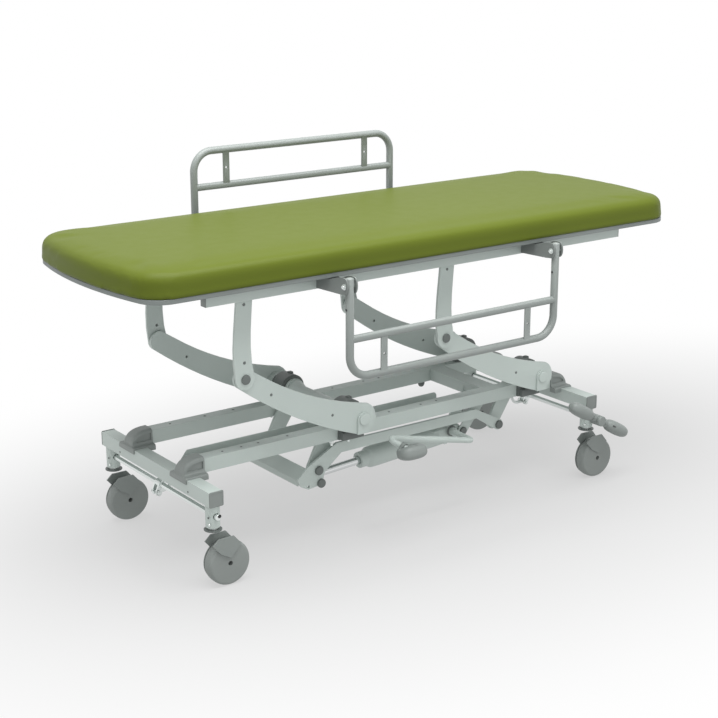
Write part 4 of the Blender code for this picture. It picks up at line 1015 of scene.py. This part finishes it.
# ---- floor, light and camera --------------------------------------------------------------
def floor():
    """Pale matt floor with a painted white glow that lightens its shadows, brightening to plain white away from
    the object.
    """
    bm = bmesh.new()
    bmesh.ops.create_circle(bm, cap_ends=True, segments=96, radius=45000)
    ground = shaded("floor", bm)
    look = bpy.data.materials.new("pale_floor")
    look.use_nodes = True
    nodes, links = look.node_tree.nodes, look.node_tree.links
    shader = nodes["Principled BSDF"]
    shader.inputs["Base Color"].default_value = (0.29, 0.29, 0.29, 1)
    shader.inputs["Roughness"].default_value = 0.75
    shader.inputs["Specular IOR Level"].default_value = 0.15
    place = nodes.new("ShaderNodeTexCoord")
    shape = nodes.new("ShaderNodeMapping")
    shape.inputs["Scale"].default_value = (0.62, 1.0, 0.0)
    shape.inputs["Location"].default_value = (-0.15, 0.0, 0.0)
    links.new(place.outputs["Object"], shape.inputs["Vector"])
    distance = nodes.new("ShaderNodeVectorMath")
    distance.operation = "LENGTH"
    links.new(shape.outputs["Vector"], distance.inputs[0])
    glow_share = nodes.new("ShaderNodeMapRange")
    glow_share.interpolation_type = "SMOOTHSTEP"
    glow_share.inputs["From Min"].default_value = 0.45
    glow_share.inputs["From Max"].default_value = 1.55
    # Painted light: even next to the object, 52% of the floor is white glow, which lightens the shadow under it.
    glow_share.inputs["To Min"].default_value = 0.52
    links.new(distance.outputs["Value"], glow_share.inputs["Value"])
    white = nodes.new("ShaderNodeEmission")
    white.inputs["Color"].default_value = (1, 1, 1, 1)
    white.inputs["Strength"].default_value = 1.0
    mixed = nodes.new("ShaderNodeMixShader")
    links.new(glow_share.outputs["Result"], mixed.inputs["Fac"])
    links.new(shader.outputs["BSDF"], mixed.inputs[1])
    links.new(white.outputs["Emission"], mixed.inputs[2])
    links.new(mixed.outputs["Shader"], nodes["Material Output"].inputs["Surface"])
    ground.data.materials.append(look)


def softbox(name, at, target, size, energy):
    light = bpy.data.lights.new(name, "AREA")
    light.shape = "RECTANGLE"
    light.size, light.size_y = size
    light.energy = energy
    lamp = bpy.data.objects.new(name, light)
    lamp.location = at
    lamp.rotation_euler = (Vector(target) - Vector(at)).to_track_quat("-Z", "Y").to_euler()
    bpy.context.scene.collection.objects.link(lamp)


def camera():
    lens = bpy.data.cameras.new("view")
    lens.sensor_width = 36.0
    lens.lens = 75.48
    lens.clip_end = 200
    eye = bpy.data.objects.new("view", lens)
    eye.location = (-2.5737, -3.4346, 1.7058)
    eye.rotation_euler = (radians(73.486), 0, radians(-36.349))
    bpy.context.scene.collection.objects.link(eye)
    bpy.context.scene.camera = eye


floor()
world = bpy.data.worlds.new("studio")
bpy.context.scene.world = world
world.use_nodes = True
world.node_tree.nodes["Background"].inputs["Color"].default_value = (1.0, 1.0, 1.0, 1)
world.node_tree.nodes["Background"].inputs["Strength"].default_value = 0.8
softbox("overhead", (-0.3, -0.6, 4.2), (0, 0, 0.4), (4.0, 3.0), 290)
softbox("front", (-0.9, -4.2, 2.6), (0, 0, 0.6), (1.8, 1.6), 16)
camera()
bpy.context.scene.view_settings.view_transform = "Standard"
